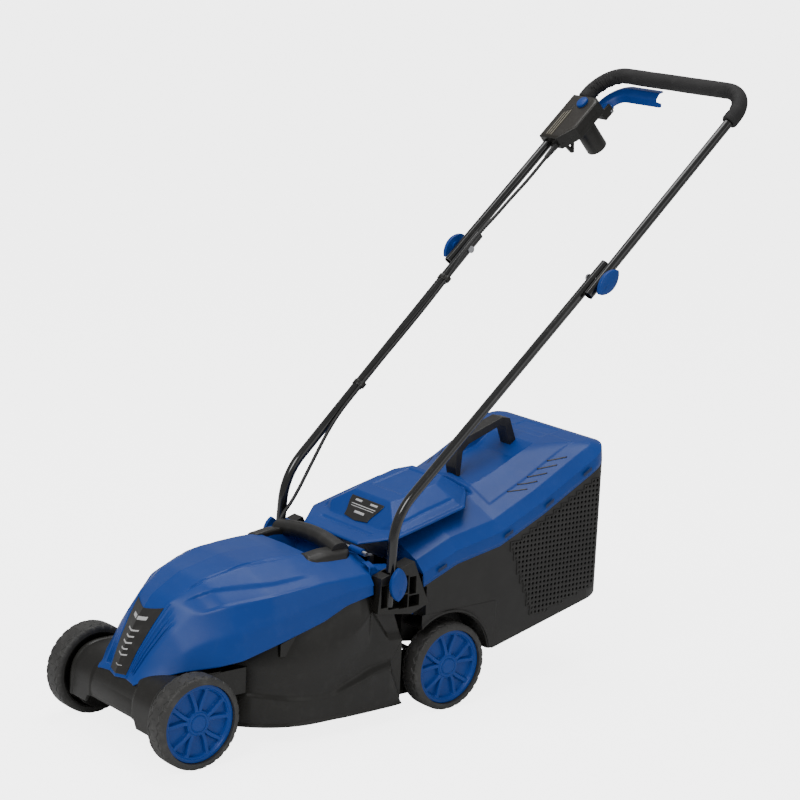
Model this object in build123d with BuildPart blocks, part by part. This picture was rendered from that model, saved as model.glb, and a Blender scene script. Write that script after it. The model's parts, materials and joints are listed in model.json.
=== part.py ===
from build123d import *
import math
import os

os.makedirs("parts", exist_ok=True)

# Corded electric rotary mower with a rear grass box, in millimetres.
# X runs across, +X is the left-hand side seen from behind; the front faces -Y; Z is up.
# The origin is on the ground, midway between the two axles.

# ---------------------------------------------------------------- driving dimensions
wheel_d = 160.0              # tyre outside diameter, all four wheels
tyre_w = 43.0                # tyre width
overall_w = 360.0            # outside face to outside face of the tyres
wheelbase = 535.0            # front axle to rear axle
rim_r = 69.0                 # radius of the wheel rim
axle_r = 5.0                 # radius of both axle rods
run_gap = 0.06               # radial clearance of everything that turns on a rod
height_travel = 40.0         # travel of each axle between its lowest and highest notch
wall = 3.0                   # moulded wall of the covers and the box
deck_wall = 4.0              # moulded wall of the deck
deck_r = 166.0               # outside radius of the rounded deck skirt
deck_z0 = 33.0               # lower edge of the skirt
deck_top = 158.0             # upper face of the deck plate
deck_bevel = 10.0            # bevel round the top of the deck
spindle_y = -15.0            # cutter spindle, behind the deck's middle
cut_d = 320.0                # cutting width
blade_w = 46.0               # blade bar width
blade_t = 3.0                # blade thickness
blade_z = 50.0               # lower face of the blade
body_gap = 0.5               # gap between neighbouring mouldings
cover_w = 330.0              # width of the motor cover
cover_y1 = 120.0             # rear end of the motor cover
cover_h = 304.0              # crest of the motor cover
carrier_r = 60.0             # radius of the front axle carrier
carrier_w = 250.0            # width of the front axle carrier
motor_r = 50.0               # motor can
motor_h = 85.0               # motor can height
shaft_r = 6.0                # motor shaft
tube_r = 9.0                 # push bar tubes, 18 mm
tube_wall = 1.4              # push bar tube wall
bar_angle = 42.0             # slope of the push bar above the ground
joint_y = 564.0              # folding joint of the push bar
joint_z = 757.0
joint_x = 174.5              # middle of the lower tubes at the folding joint
foot_x = 163.0               # middle of the lower tubes in their sockets
foot_y = 133.0
foot_z = 212.0               # lower end of the tubes
foot_bolt_z = 257.0          # bolt through the tube and socket
bar_len = 480.0              # folding joint to the cross bar
bar_bend = 60.0              # bend radius of the cross bar's corners
overlap = 38.0               # how far each tube runs past the folding joint
bolt_r = 3.0                 # push bar bolts, M6
foam_r = 15.5                # outside of the foam grip
flap_y = 112.0               # hinge line of the rear flap
flap_z = 300.0
flap_slope = 13.5            # slope of the closed flap
flap_half = 125.0            # half width of the flap
flap_len = 245.0             # hinge line to the rear edge of the flap, along its slope
flap_rod_r = 3.0
box_half = 168.0             # half width of the grass box
box_y0 = 206.0               # front wall of the grass box
box_y1 = 650.0               # back wall of the grass box
box_corner = 48.0            # plan radius of the grass box's rear corners
lead_r = 3.3                 # mains lead, about 6.6 mm
knob_t = 16.0                # thickness of the wing knobs
knob_long = 60.0
knob_wide = 35.0

# ---------------------------------------------------------------- values that follow
wheel_r = wheel_d / 2
axle_y = wheelbase / 2
tyre_x1 = overall_w / 2
tyre_x0 = tyre_x1 - tyre_w
cover_half = cover_w / 2
upper_x = joint_x + 2 * tube_r + body_gap
foot_top_x = foot_x - 3
ca = math.cos(math.radians(bar_angle))
sa = math.sin(math.radians(bar_angle))
bar_plane = Plane(origin=(0, joint_y, joint_z), x_dir=(1, 0, 0), z_dir=(0, -sa, ca))
fs = math.sin(math.radians(flap_slope))
fc = math.cos(math.radians(flap_slope))
flap_plane = Plane(origin=(0, flap_y, flap_z), x_dir=(1, 0, 0), z_dir=(0, -fs, fc))
SIDES = (("left", 1), ("right", -1))
ENDS = (("front", -1), ("rear", 1))


def write(part, label):
    """Label a finished piece and write it as its own STEP file."""
    part.label = label
    export_step(part, f"parts/{label}.step")


def side_plane(x):
    """A plane square to X at x, with the sketch's x along +Y and its y along +Z."""
    return Plane(origin=(x, 0, 0), x_dir=(0, 1, 0), z_dir=(1, 0, 0))


def prism(points, x0, x1, inset=0.0):
    """A side outline (y, z), made smaller by inset, carried across from x0 to x1."""
    with BuildPart() as made:
        with BuildSketch(side_plane(x0)):
            with BuildLine():
                Polyline(*points, close=True)
            make_face()
            if inset:
                offset(amount=-inset)
        extrude(amount=x1 - x0)
    return made.part


def slab(x0, x1, y0, y1, z0, z1):
    """A plain block between two corners."""
    with BuildPart() as made:
        with BuildSketch(Plane.XY.offset(z0)):
            with Locations(((x0 + x1) / 2, (y0 + y1) / 2)):
                Rectangle(x1 - x0, y1 - y0)
        extrude(amount=z1 - z0)
    return made.part


def rod(x0, x1, y, z, r, hole=0.0):
    """A round bar along X, with an optional hole through it."""
    with BuildPart() as made:
        with BuildSketch(side_plane(x0)):
            with Locations((y, z)):
                Circle(r)
                if hole:
                    Circle(hole, mode=Mode.SUBTRACT)
        extrude(amount=x1 - x0)
    return made.part


def pillar(x, y, z0, z1, r, hole=0.0):
    """A round bar along Z, with an optional hole through it."""
    with BuildPart() as made:
        with BuildSketch(Plane.XY.offset(z0)):
            with Locations((x, y)):
                Circle(r)
                if hole:
                    Circle(hole, mode=Mode.SUBTRACT)
        extrude(amount=z1 - z0)
    return made.part


def bar_block(x0, x1, t0, t1, n0, n1):
    """A block in the push bar's own directions: x across, t along the bar, n square to it."""
    with BuildPart() as made:
        with BuildSketch(bar_plane.offset(n0)):
            with Locations(((x0 + x1) / 2, (t0 + t1) / 2)):
                Rectangle(x1 - x0, t1 - t0)
        extrude(amount=n1 - n0)
    return made.part


def bar_point(x, t, n=0.0):
    """The point at x, t along the push bar and n above its middle line."""
    return (x, joint_y + t * ca - n * sa, joint_z + t * sa + n * ca)


def tube_along(points, radii, r, hole=0.0):
    """A round tube swept along straight runs joined by tangent arcs."""
    with BuildPart() as made:
        with BuildLine() as path:
            if radii:
                FilletPolyline(*points, radius=radii)
            else:
                Line(points[0], points[1])
        start = Vector(points[0])
        with BuildSketch(Plane(origin=start, z_dir=Vector(points[1]) - start)):
            Circle(r)
            if hole:
                Circle(hole, mode=Mode.SUBTRACT)
        sweep(path=path.line)
    return made.part


# ---------------------------------------------------------------- deck
def deck_form(inset, z0, z1):
    """The skirt in plan: round in front of the spindle, square at the back, bevelled round its top."""
    r = deck_r - inset
    bevel = deck_bevel - inset * math.tan(math.radians(22.5)) * math.sqrt(2)
    y1 = foot_y + 32 - inset
    with BuildPart() as made:
        with BuildSketch(Plane.XY.offset(z0)):
            with Locations((0, spindle_y)):
                Circle(r)
            with Locations((0, (spindle_y + y1) / 2)):
                Rectangle(2 * r, y1 - spindle_y)
        extrude(amount=z1 - z0)
        chamfer(made.faces().sort_by(Axis.Z)[-1].edges(), length=bevel)
    return made.part


deck_back = foot_y + 32
arm_x0 = 117.0
arm_x1 = 127.0
arm_past = 24.0              # how far the rear arms run behind the rear axle
arm_z0 = wheel_r - height_travel - 14
arm_z1 = wheel_r + 26
hanger_d = 9.0
chute_half = 95.0
slot_r = axle_r + 0.5


def axle_slot(x0, x1, y):
    """The upright slot that the axle rod stands in, closed at its top notch."""
    with BuildPart() as made:
        with BuildSketch(side_plane(x0)):
            with Locations((y, wheel_r - height_travel / 2)):
                SlotCenterToCenter(height_travel, 2 * slot_r, rotation=90)
        extrude(amount=x1 - x0)
    return made.part


carrier_half = carrier_w / 2
deck_outer = deck_form(0, deck_z0, deck_top)
deck_inner = deck_form(deck_wall, deck_z0 - 1, deck_top - deck_wall)
carrier_outer = rod(-carrier_half, carrier_half, -axle_y, wheel_r, carrier_r)
carrier_inner = rod(-carrier_half + 12, carrier_half - 12, -axle_y, wheel_r, carrier_r - deck_wall)
bridge_y1 = spindle_y - deck_r * 0.75
bridge_outer = slab(-carrier_half, carrier_half, -axle_y, bridge_y1, wheel_r + 14, wheel_r + carrier_r)
bridge_inner = slab(-carrier_half + 12, carrier_half - 12, -axle_y, bridge_y1 + 1, wheel_r + 13,
                    wheel_r + carrier_r - deck_wall)
carrier_foot = slab(-carrier_half + 12.5, carrier_half - 12.5, -axle_y - carrier_r - 1,
                    -axle_y + carrier_r + 1, 0, wheel_r - carrier_r * 0.2)
chute_z0 = 94.0
chute_y1 = box_y0 - 1.5
chute_outer = slab(-chute_half, chute_half, deck_back - 1, chute_y1, chute_z0, deck_top)
chute_inner = slab(-chute_half + deck_wall, chute_half - deck_wall, deck_back - 2 * deck_wall,
                   chute_y1 + 1, chute_z0 + deck_wall, deck_top - deck_wall)
bulkhead = slab(-cover_half + 20, cover_half - 20, cover_y1 + body_gap, cover_y1 + body_gap + deck_wall,
                deck_top - 1, flap_z - 34)
lug_x = 118.0

deck_body = deck_outer - deck_inner + (carrier_outer + bridge_outer)
deck_body = deck_body - deck_form(deck_wall, 0, deck_top - deck_wall)
deck_body = deck_body - carrier_inner - bridge_inner - carrier_foot
deck_body = deck_body + chute_outer - chute_inner + bulkhead
for side in (1, -1):
    x0, x1 = sorted((side * arm_x0, side * arm_x1))
    deck_body = deck_body + slab(x0, x1, deck_back - deck_wall, axle_y + arm_past, arm_z0, arm_z1)
    hanger_x0, hanger_x1 = sorted((side * (lug_x - 4), side * (lug_x + 4)))
    deck_body = deck_body + slab(hanger_x0, hanger_x1, cover_y1 + body_gap, cover_y1 + hanger_d,
                                 flap_z - 36, flap_z - 6)
for end in (1, -1):
    deck_body = deck_body - axle_slot(-carrier_half - 5, carrier_half + 5, end * axle_y)
shoulder = [(-92, deck_top - 1), (-92, 180), (-9, 205), (70, 240), (foot_y - 36, 228), (foot_y - 36, 203),
            (cover_y1 + 20, 195), (cover_y1 + 20, deck_top - 1)]
for side in (1, -1):
    x0, x1 = sorted((side * (cover_half - 16), side * (cover_half - 9)))
    deck_body = deck_body + prism(shoulder, x0, x1)
bearing_r = 16.0
deck_body = deck_body - pillar(0, spindle_y, deck_top - deck_wall - 1, deck_top + 1, bearing_r)
write(deck_body, "deck")

# ---------------------------------------------------------------- push bar sockets
socket_x0 = cover_half - 17
socket_x1 = foot_x + 12.5
socket_outline = [(foot_y - 34, 206), (foot_y + 42, 194), (foot_y + 80, 207), (foot_y + 44, 290),
                  (foot_y - 28, 268)]
for name, side in SIDES:
    x0, x1 = sorted((side * socket_x0, side * socket_x1))
    block = prism(socket_outline, x0, x1)
    channel_in = side * (foot_x - tube_r - 3.5)
    channel_out = side * (socket_x1 + 1)
    c0, c1 = sorted((channel_in, channel_out))
    channel = slab(c0, c1, foot_y - tube_r - 1.5, foot_y + tube_r + 5, foot_z - 2, 300)
    pocket_in, pocket_out = sorted((side * (socket_x0 + 4), channel_out))
    block = block - channel
    for y0, y1, z0, z1 in (
        (foot_y - 27, foot_y - 13, 215, 255),
        (foot_y + 13, foot_y + 32, 208, 232),
        (foot_y + 13, foot_y + 32, 235, 266),
        (foot_y + 35, foot_y + 58, 208, 228),
        (foot_y + 35, foot_y + 50, 231, 262),
    ):
        block = block - slab(pocket_in, pocket_out, y0, y1, z0, z1)
    block = block - rod(x0 - 1, x1 + 1, foot_y, foot_bolt_z, bolt_r)
    write(block, f"handle_socket_{name}")

# ---------------------------------------------------------------- motor cover
dish_half = 64.0
dish_y0 = 26.0
dish_y1 = 100.0
dish_z = 262.0
cover_side = [
    (-322, 120), (-300, 175), (-246, 257), (-200, 283), (-112, cover_h), (-20, cover_h), (33, 299),
    (cover_y1 - 17, 297), (cover_y1 - 16, 289), (cover_y1, 289),
    (cover_y1, 222), (cover_y1 - 50, 243), (-9, 208), (-92, 183), (-171, 160), (-250, 148),
]
cover_plan = [(54, -330), (110, -250), (150, -171), (cover_half - 5, -92), (cover_half, -9),
              (cover_half, cover_y1 + 5)]
cover_front = [(cover_half, 100), (cover_half, 236), (cover_half - 14, 268), (86, 298), (58, cover_h + 1)]


def mirrored(points):
    """An outline given for its +X half, closed by its mirror image."""
    return points + [(-x, y) for x, y in reversed(points) if x]


def cover_form(inset):
    """The cover's side, plan and front outlines, each carried right through and intersected."""
    with BuildPart() as made:
        with BuildSketch(side_plane(-cover_half - 5)):
            with BuildLine():
                Polyline(*cover_side, close=True)
            make_face()
            if inset:
                offset(amount=-inset)
        extrude(amount=cover_w + 10)
        with BuildSketch(Plane.XY.offset(80)):
            with BuildLine():
                Polyline(*mirrored(cover_plan), close=True)
            make_face()
            if inset:
                offset(amount=-inset)
        extrude(amount=cover_h, mode=Mode.INTERSECT)
        with BuildSketch(Plane(origin=(0, -400, 0), x_dir=(1, 0, 0), z_dir=(0, -1, 0))):
            with BuildLine():
                Polyline(*mirrored(cover_front), close=True)
            make_face()
            if inset:
                offset(amount=-inset)
        extrude(amount=-cover_w * 2, mode=Mode.INTERSECT)
    return made.part


cover_inner = cover_form(wall)
dish_outer = slab(-dish_half - wall, dish_half + wall, dish_y0 - wall, dish_y1 + wall, dish_z - wall,
                  cover_h + 5)
dish_inner = slab(-dish_half, dish_half, dish_y0, dish_y1, dish_z, cover_h + 6)
cover_core = cover_form(0)
cover = cover_core - cover_inner
under_cover = [(-312, 60), (-312, 131), (-250, 160), (-171, 172), (-92, 195), (-9, 220), (66, 255), (66, 60)]
plan_cut = prism(under_cover, -cover_half + 12, cover_half - 12)
with BuildPart() as plan_core:
    with BuildSketch(Plane.XY.offset(60)):
        with BuildLine():
            Polyline(*mirrored(cover_plan), close=True)
        make_face()
        offset(amount=-wall)
    extrude(amount=cover_h)
cover = cover - (plan_cut & plan_core.part)
cover = cover + (dish_outer & cover_core) - dish_inner
entry_x = -138.0
entry_y = 108.0
cover = cover - pillar(entry_x, entry_y + 2, 240, cover_h, lead_r + 4)
cover = cover - rod(-carrier_half - 1, carrier_half + 1, -axle_y, wheel_r, carrier_r + body_gap)
for side in (1, -1):
    x0, x1 = sorted((side * (socket_x0 - body_gap), side * (cover_half + 5)))
    cover = cover - slab(x0, x1, foot_y - 34 - body_gap, cover_y1 + 1, 190, cover_h)
write(cover, "motor_cover")

# ---------------------------------------------------------------- front label panel
nose_tilt = math.atan2(257 - 175, -246 + 300)
nose_plane = Plane(origin=(0, -300, 175), x_dir=(1, 0, 0),
                   z_dir=(0, -math.sin(nose_tilt), math.cos(nose_tilt)))
with BuildPart() as nose_label:
    with BuildSketch(nose_plane.offset(0.1)):
        with BuildLine():
            Polyline((24, -8), (41, 92), (0, 86), (-41, 92), (-24, -8), close=True)
        make_face()
    extrude(amount=1.2)
write(nose_label.part, "nose_label")

# ---------------------------------------------------------------- carry handle
grip_y0 = 62.0
grip_y1 = 98.0
grip_z0 = 288.0
grip_z1 = 316.0
block_x0 = dish_half + 1.5
block_x1 = 86.0
with BuildPart() as carry_handle:
    with BuildSketch(side_plane(-block_x1)):
        with BuildLine():
            Polyline((grip_y0, grip_z0 + 6), (grip_y0 + 6, grip_z1 - 4), (grip_y0 + 16, grip_z1),
                     (grip_y1 - 8, grip_z1 - 2), (grip_y1, grip_z1 - 10), (grip_y1 - 4, grip_z0), close=True)
        make_face()
    extrude(amount=2 * block_x1)
handle_body = carry_handle.part
for side in (1, -1):
    x0, x1 = sorted((side * block_x0, side * block_x1))
    handle_body = handle_body + slab(x0, x1, dish_y0 + 7, grip_y1, cover_h - 12, grip_z1 - 9)
handle_body = handle_body - (cover_core - dish_inner)
for side in (1, -1):
    handle_body = handle_body + pillar(side * (dish_half - 8), grip_y1 - 20, dish_z, grip_z0 + 8, 5)
write(handle_body, "carry_handle")

# ---------------------------------------------------------------- motor
motor_z0 = deck_top
motor_top = motor_z0 + motor_h
with BuildPart() as motor_can:
    with BuildSketch(Plane.XY.offset(motor_z0)):
        with Locations((0, spindle_y)):
            Circle(motor_r)
            Circle(motor_r - 2, mode=Mode.SUBTRACT)
    extrude(amount=motor_h)
can = motor_can.part + pillar(0, spindle_y, motor_top - 3, motor_top, motor_r, bearing_r - 5)
for angle in range(0, 360, 90):
    ear_x = (motor_r + 5) * math.cos(math.radians(angle + 45))
    ear_y = spindle_y + (motor_r + 5) * math.sin(math.radians(angle + 45))
    ear = pillar(ear_x, ear_y, motor_z0, motor_z0 + 6, 8)
    can = can + (ear - pillar(0, spindle_y, motor_z0, motor_z0 + 6, motor_r - 1))
write(can, "motor_can")
stator_r = 36.0
rotor_r = stator_r - 1.0
write(pillar(0, spindle_y, motor_z0 + 22, motor_top - 20, motor_r - 2, stator_r), "stator_core")
shaft_z0 = blade_z + blade_t
with BuildPart() as armature:
    with BuildSketch(Plane.XY.offset(shaft_z0)):
        with Locations((0, spindle_y)):
            Circle(shaft_r)
    extrude(amount=motor_top + 2 - shaft_z0)
    with BuildSketch(Plane.XY.offset(motor_z0 + 24)):
        with Locations((0, spindle_y)):
            Circle(rotor_r)
    extrude(amount=motor_h - 46)
    with BuildSketch(Plane.XY.offset(motor_top - 20)):
        with Locations((0, spindle_y)):
            Circle(14)
    extrude(amount=8)
write(armature.part, "armature")
bore = shaft_r + run_gap
write(pillar(0, spindle_y, motor_top - 12, motor_top - 3, bearing_r - 2, bore), "upper_bearing")
write(pillar(0, spindle_y, deck_top - deck_wall, deck_top + 6, bearing_r, bore), "lower_bearing")

# ---------------------------------------------------------------- cutter
holder_r = 24.0
neck_r = 13.0
plate_h = 12.0
holder_z1 = blade_z + blade_t + 34
with BuildPart() as blade_holder:
    with BuildSketch(Plane.XY.offset(blade_z + blade_t)):
        with Locations((0, spindle_y)):
            Circle(holder_r)
            Circle(shaft_r, mode=Mode.SUBTRACT)
    extrude(amount=plate_h)
    with BuildSketch(Plane.XY.offset(blade_z + blade_t + plate_h)):
        with Locations((0, spindle_y)):
            Circle(neck_r)
            Circle(shaft_r, mode=Mode.SUBTRACT)
    extrude(amount=holder_z1 - blade_z - blade_t - plate_h)
    with BuildSketch(Plane.XY.offset(blade_z + blade_t + plate_h)):
        with Locations((0, spindle_y)):
            with PolarLocations(30, 8):
                Rectangle(40, 2.5)
            Circle(12, mode=Mode.SUBTRACT)
    extrude(amount=14)
write(blade_holder.part, "fan_and_blade_holder")
blade_half = cut_d / 2 - 2
with BuildPart() as blade:
    with BuildSketch(Plane(origin=(0, spindle_y, blade_z))):
        with BuildLine():
            Polyline((-blade_half, -blade_w / 2), (-45, -blade_w / 2 + 4), (45, -blade_w / 2 + 4),
                     (blade_half, -blade_w / 2 + 8), (blade_half, blade_w / 2), (45, blade_w / 2 - 4),
                     (-45, blade_w / 2 - 4), (-blade_half, blade_w / 2 - 8), close=True)
        make_face()
    extrude(amount=blade_t)
blade_part = blade.part
blade_bore_r = 5.0
blade_part = blade_part - pillar(0, spindle_y, blade_z - 1, blade_z + blade_t + 1, blade_bore_r)
lift_x0 = blade_half - 52
for side in (1, -1):
    x0, x1 = sorted((side * lift_x0, side * blade_half))
    y0, y1 = sorted((spindle_y + side * (blade_w / 2 - 3), spindle_y + side * (blade_w / 2)))
    blade_part = blade_part + slab(x0, x1, y0, y1, blade_z, blade_z + 11)
write(blade_part, "blade")
washer = pillar(0, spindle_y, blade_z - 3, blade_z, 15)
bolt_form = pillar(0, spindle_y, blade_z, blade_z + blade_t, blade_bore_r) + washer
with BuildPart() as bolt_head:
    with BuildSketch(Plane.XY.offset(blade_z - 10)):
        with Locations((0, spindle_y)):
            RegularPolygon(radius=9.5, side_count=6)
    extrude(amount=7)
write(bolt_form + bolt_head.part, "blade_bolt")

# ---------------------------------------------------------------- axles and wheels
axle_half = tyre_x1 - 9
hub_x0 = tyre_x0 - 3
hub_r = 17.0
cap_r = 11.0
spoke_r0 = 18.0
spoke_r1 = rim_r - 3
spoke_w = 4.0
for end_name, end in ENDS:
    y = end * axle_y
    axle = rod(-axle_half, axle_half, y, wheel_r, axle_r)
    for side in (1, -1):
        x0, x1 = sorted((side * (max(carrier_half, arm_x1) + 1), side * (hub_x0 - 0.5)))
        axle = axle + rod(x0, x1, y, wheel_r, axle_r + 4)
    write(axle, f"{end_name}_axle")
    for side_name, side in SIDES:
        with BuildPart() as tyre:
            x0, x1 = sorted((side * tyre_x0, side * tyre_x1))
            with BuildSketch(side_plane(x0)):
                with Locations((y, wheel_r)):
                    Circle(wheel_r)
                    Circle(rim_r, mode=Mode.SUBTRACT)
            extrude(amount=x1 - x0)
            circles = tyre.edges().filter_by(GeomType.CIRCLE)
            fillet(circles.filter_by(lambda e: e.radius > wheel_r - 0.1), radius=4)
        write(tyre.part, f"tyre_{end_name}_{side_name}")
        a0, a1 = sorted((side * (tyre_x0 + 3), side * (tyre_x1 - 3)))
        rim = rod(a0, a1, y, wheel_r, rim_r, rim_r - 5)
        d0, d1 = sorted((side * (tyre_x1 - 15), side * (tyre_x1 - 9)))
        rim = rim + rod(d0, d1, y, wheel_r, rim_r - 4)
        s0, s1 = sorted((side * (tyre_x1 - 15), side * (tyre_x1 - 5)))
        for spoke in range(5):
            for half in (-9, 9):
                angle = math.radians(90 + 72 * spoke + half)
                mid_r = (spoke_r0 + spoke_r1) / 2
                with BuildPart() as rib:
                    with BuildSketch(side_plane(s0)):
                        middle_of_rib = (y + mid_r * math.cos(angle), wheel_r + mid_r * math.sin(angle))
                        with Locations(Location(middle_of_rib, math.degrees(angle))):
                            Rectangle(spoke_r1 - spoke_r0, spoke_w)
                    extrude(amount=s1 - s0)
                rim = rim + rib.part
        h0, h1 = sorted((side * hub_x0, side * (tyre_x1 - 5)))
        rim = rim + rod(h0, h1, y, wheel_r, hub_r)
        b0, b1 = sorted((side * (hub_x0 - 1), side * (axle_half + 0.5)))
        rim = rim - rod(b0, b1, y, wheel_r, axle_r + run_gap)
        e0, e1 = sorted((side * (axle_half + 0.5), side * (tyre_x1 - 4)))
        rim = rim - rod(e0, e1, y, wheel_r, cap_r)
        write(rim, f"rim_{end_name}_{side_name}")
        p0, p1 = sorted((side * (tyre_x1 - 7), side * (tyre_x1 - 3.5)))
        write(rod(p0, p1, y, wheel_r, cap_r), f"hub_cap_{end_name}_{side_name}")

# ---------------------------------------------------------------- rear flap
def flap_block(x0, x1, t0, t1, n0, n1):
    """A block in the flap's own directions: x across, t down its slope from the hinge, n square to it."""
    with BuildPart() as made:
        with BuildSketch(flap_plane.offset(n0)):
            with Locations(((x0 + x1) / 2, (t0 + t1) / 2)):
                Rectangle(x1 - x0, t1 - t0)
        extrude(amount=n1 - n0)
    return made.part


hump_front = 72.0
flap_outline = [(78, 12), (flap_half, 70), (flap_half, flap_len - 20), (80, flap_len + 22),
                (0, flap_len + 36)]
hump_base = [(74, hump_front), (115, hump_front + 18), (115, flap_len - 22), (76, flap_len + 14),
             (0, flap_len + 28)]
hump_lid = [(50, hump_front + 74), (60, hump_front + 84), (60, flap_len - 28), (44, flap_len - 6),
            (0, flap_len + 2)]
hump_h = 34.0


def hump(inset, n0, n1):
    """The raised middle of the flap, tapering from its base outline to its lid outline."""
    with BuildPart() as made:
        for height, points in ((n0, hump_base), (n1, hump_lid)):
            with BuildSketch(flap_plane.offset(height)):
                with BuildLine():
                    Polyline(*mirrored(points), close=True)
                make_face()
                if inset:
                    offset(amount=-inset)
        loft()
    return made.part


with BuildPart() as flap_sheet:
    with BuildSketch(flap_plane):
        with BuildLine():
            Polyline(*mirrored(flap_outline), close=True)
        make_face()
    extrude(amount=wall)
flap = flap_sheet.part + hump(0, wall - 0.5, hump_h) - hump(wall, -0.01, hump_h - wall)
knuckle_r = flap_rod_r + 3
for side in (1, -1):
    x0, x1 = sorted((side * 78, side * 112))
    flap = flap + rod(x0, x1, flap_y, flap_z - 1, knuckle_r)
    w0, w1 = sorted((side * 80, side * 110))
    flap = flap + flap_block(w0, w1, 3, 72, -2, wall)
flap = flap - rod(-120, 120, flap_y, flap_z - 1, flap_rod_r + run_gap)
write(flap, "rear_flap")
rod_half = lug_x + 5
flap_rod = rod(-rod_half, rod_half, flap_y, flap_z - 1, flap_rod_r)
for side in (1, -1):
    x0, x1 = sorted((side * (lug_x - 3), side * (lug_x + 3)))
    flap_rod = flap_rod + slab(x0, x1, flap_y - 3, cover_y1 + 6, flap_z - 6, flap_z - 3.5)
write(flap_rod, "flap_hinge_rod")
label_slope = math.atan2(hump_h - wall, 74)
label_plane = Plane(origin=flap_plane.from_local_coords((0, hump_front, wall)), x_dir=(1, 0, 0),
                    z_dir=flap_plane.z_dir).rotated((math.degrees(label_slope), 0, 0))
with BuildPart() as flap_label:
    with BuildSketch(label_plane.offset(0.6)):
        with BuildLine():
            Polyline((34, 16), (48, 60), (-48, 60), (-34, 16), (0, 10), close=True)
        make_face()
    extrude(amount=1.0)
write(flap_label.part, "flap_label")

# ---------------------------------------------------------------- grass box
rim_line = [(box_y0, 236), (282, 266), (382, 284), (480, 327), (box_y1 - 8, 412)]
recess_half = 112.0
box_tall = 600.0             # taller than the lid, for blocks that cut through the whole box
recess_y1 = axle_y + wheel_r + 27
recess_z1 = wheel_d + 18
base_side = [(box_y0, 120), (recess_y1, 93), (box_y1 - 3, 159), (box_y1, 200)] + list(reversed(rim_line))


def box_plan(inset):
    """The box's plan outline with its two rear corners rounded, made smaller by inset, as a tall block."""
    y0 = box_y0 - 10
    y1 = box_y1 - inset
    with BuildPart() as made:
        with BuildSketch() as plan:
            with Locations((0, (y0 + y1) / 2)):
                Rectangle(2 * (box_half - inset), y1 - y0)
            fillet(plan.vertices().sort_by(Axis.Y)[-2:], radius=box_corner - inset)
        extrude(amount=box_tall)
    return made.part


def box_part(points, inset):
    """The box base: its side outline carried across, with the two wheel recesses taken out."""
    part = prism(points, -box_half + inset, box_half - inset, inset) & box_plan(inset)
    for side in (1, -1):
        x0, x1 = sorted((side * (recess_half - inset), side * (box_half + 5)))
        part = part - slab(x0, x1, box_y0 - 5, recess_y1 + inset, 0, recess_z1 + inset)
        n0, n1 = sorted((side * (socket_x0 - 1 - inset), side * (box_half + 5)))
        part = part - slab(n0, n1, box_y0 - 5, foot_y + 81 + inset, 0, 236)
    return part


def mouth_outline(drop):
    """The rim line of the box inside its walls, lowered by drop, in side view."""
    line = [(y, z - drop) for y, z in rim_line]
    return [(box_y0 + wall, line[0][1])] + line[1:-1] + [(box_y1 - 8 - wall, line[-1][1])]


base_open = mouth_outline(4) + [(box_y1 - 8 - wall, 500), (box_y0 + wall, 500)]
base = box_part(base_side, 0) - box_part(base_side, wall)
base = base - (prism(base_open, -box_half + wall, box_half - wall) & box_plan(wall))
mouth_half = 92.0
base = base - slab(-mouth_half, mouth_half, box_y0 - 5, box_y0 + 5, 126, 200)
write(base, "grass_box_base")

lid_slope = math.degrees(math.atan2(rim_line[-1][1] - rim_line[0][1], rim_line[-1][0] - box_y0))
flap_end_y = flap_y + flap_len * fc
flap_end_z = flap_z + flap_len * fs
flap_gap = 4.0
flap_under = [(box_y0, flap_z + (box_y0 - flap_y) * math.tan(math.radians(flap_slope)) - 12),
              (flap_end_y + 20, flap_end_z - flap_gap - 1)]
lid_side = rim_line + [(box_y1, 448), (560, 432), (flap_end_y + 42, 388), (flap_end_y + 40, flap_end_z)]
lid_side = lid_side + list(reversed(flap_under))
lid_plane = Plane(origin=(0, box_y0, rim_line[0][1]), x_dir=(-1, 0, 0),
                  z_dir=(0, math.cos(math.radians(lid_slope)), math.sin(math.radians(lid_slope))))
lid_section = [(box_half, -90), (box_half, 24), (box_half - 24, 44), (60, 76)]


def lid_form(inset):
    """The lid's side outline carried across, and cut to its crowned section along its slope."""
    with BuildPart() as made:
        with BuildSketch(side_plane(-box_half - 5)):
            with BuildLine():
                Polyline(*lid_side, close=True)
            make_face()
            if inset:
                offset(amount=-inset)
        extrude(amount=2 * box_half + 10)
        with BuildSketch(lid_plane.offset(-60)):
            with BuildLine():
                Polyline(*mirrored(lid_section), close=True)
            make_face()
            if inset:
                offset(amount=-inset)
        extrude(amount=700, mode=Mode.INTERSECT)
    return made.part & box_plan(inset)


lid_open = mouth_outline(2) + [(y, z + 9) for y, z in reversed(mouth_outline(0))]
lid_core = lid_form(0)
lid = lid_core - lid_form(wall) - (prism(lid_open, -box_half + wall, box_half - wall) & box_plan(wall))
strap_y0 = 400.0
strap_y1 = 542.0
strap_half = 14.0
strap_dish = prism([(strap_y0 - 4, 402), (strap_y0 + 4, 372), (strap_y1 - 30, 404), (strap_y1 + 6, 428),
                    (strap_y1, 500), (strap_y0 - 4, 500)], -60, 60)
strap_skin = prism([(strap_y0 - 8, 398), (strap_y0 + 3, 368), (strap_y1 - 28, 400), (strap_y1 + 11, 426),
                    (strap_y1 + 5, 504), (strap_y0 - 8, 504)], -60 - wall, 60 + wall)
lid = lid + (strap_skin & lid_core) - strap_dish
write(lid, "grass_box_lid")
strap_outer = [(strap_y0 - 2, 372), (strap_y0 + 2, 428), (strap_y0 + 24, 446), (strap_y1 - 34, 474),
               (strap_y1 - 14, 470), (strap_y1 + 4, 424)]
strap_inner = [(strap_y1 - 10, 418), (strap_y1 - 24, 454), (strap_y1 - 38, 458), (strap_y0 + 30, 432),
               (strap_y0 + 16, 420), (strap_y0 + 12, 375)]
strap = prism(strap_outer + strap_inner, -strap_half, strap_half) - lid
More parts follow.
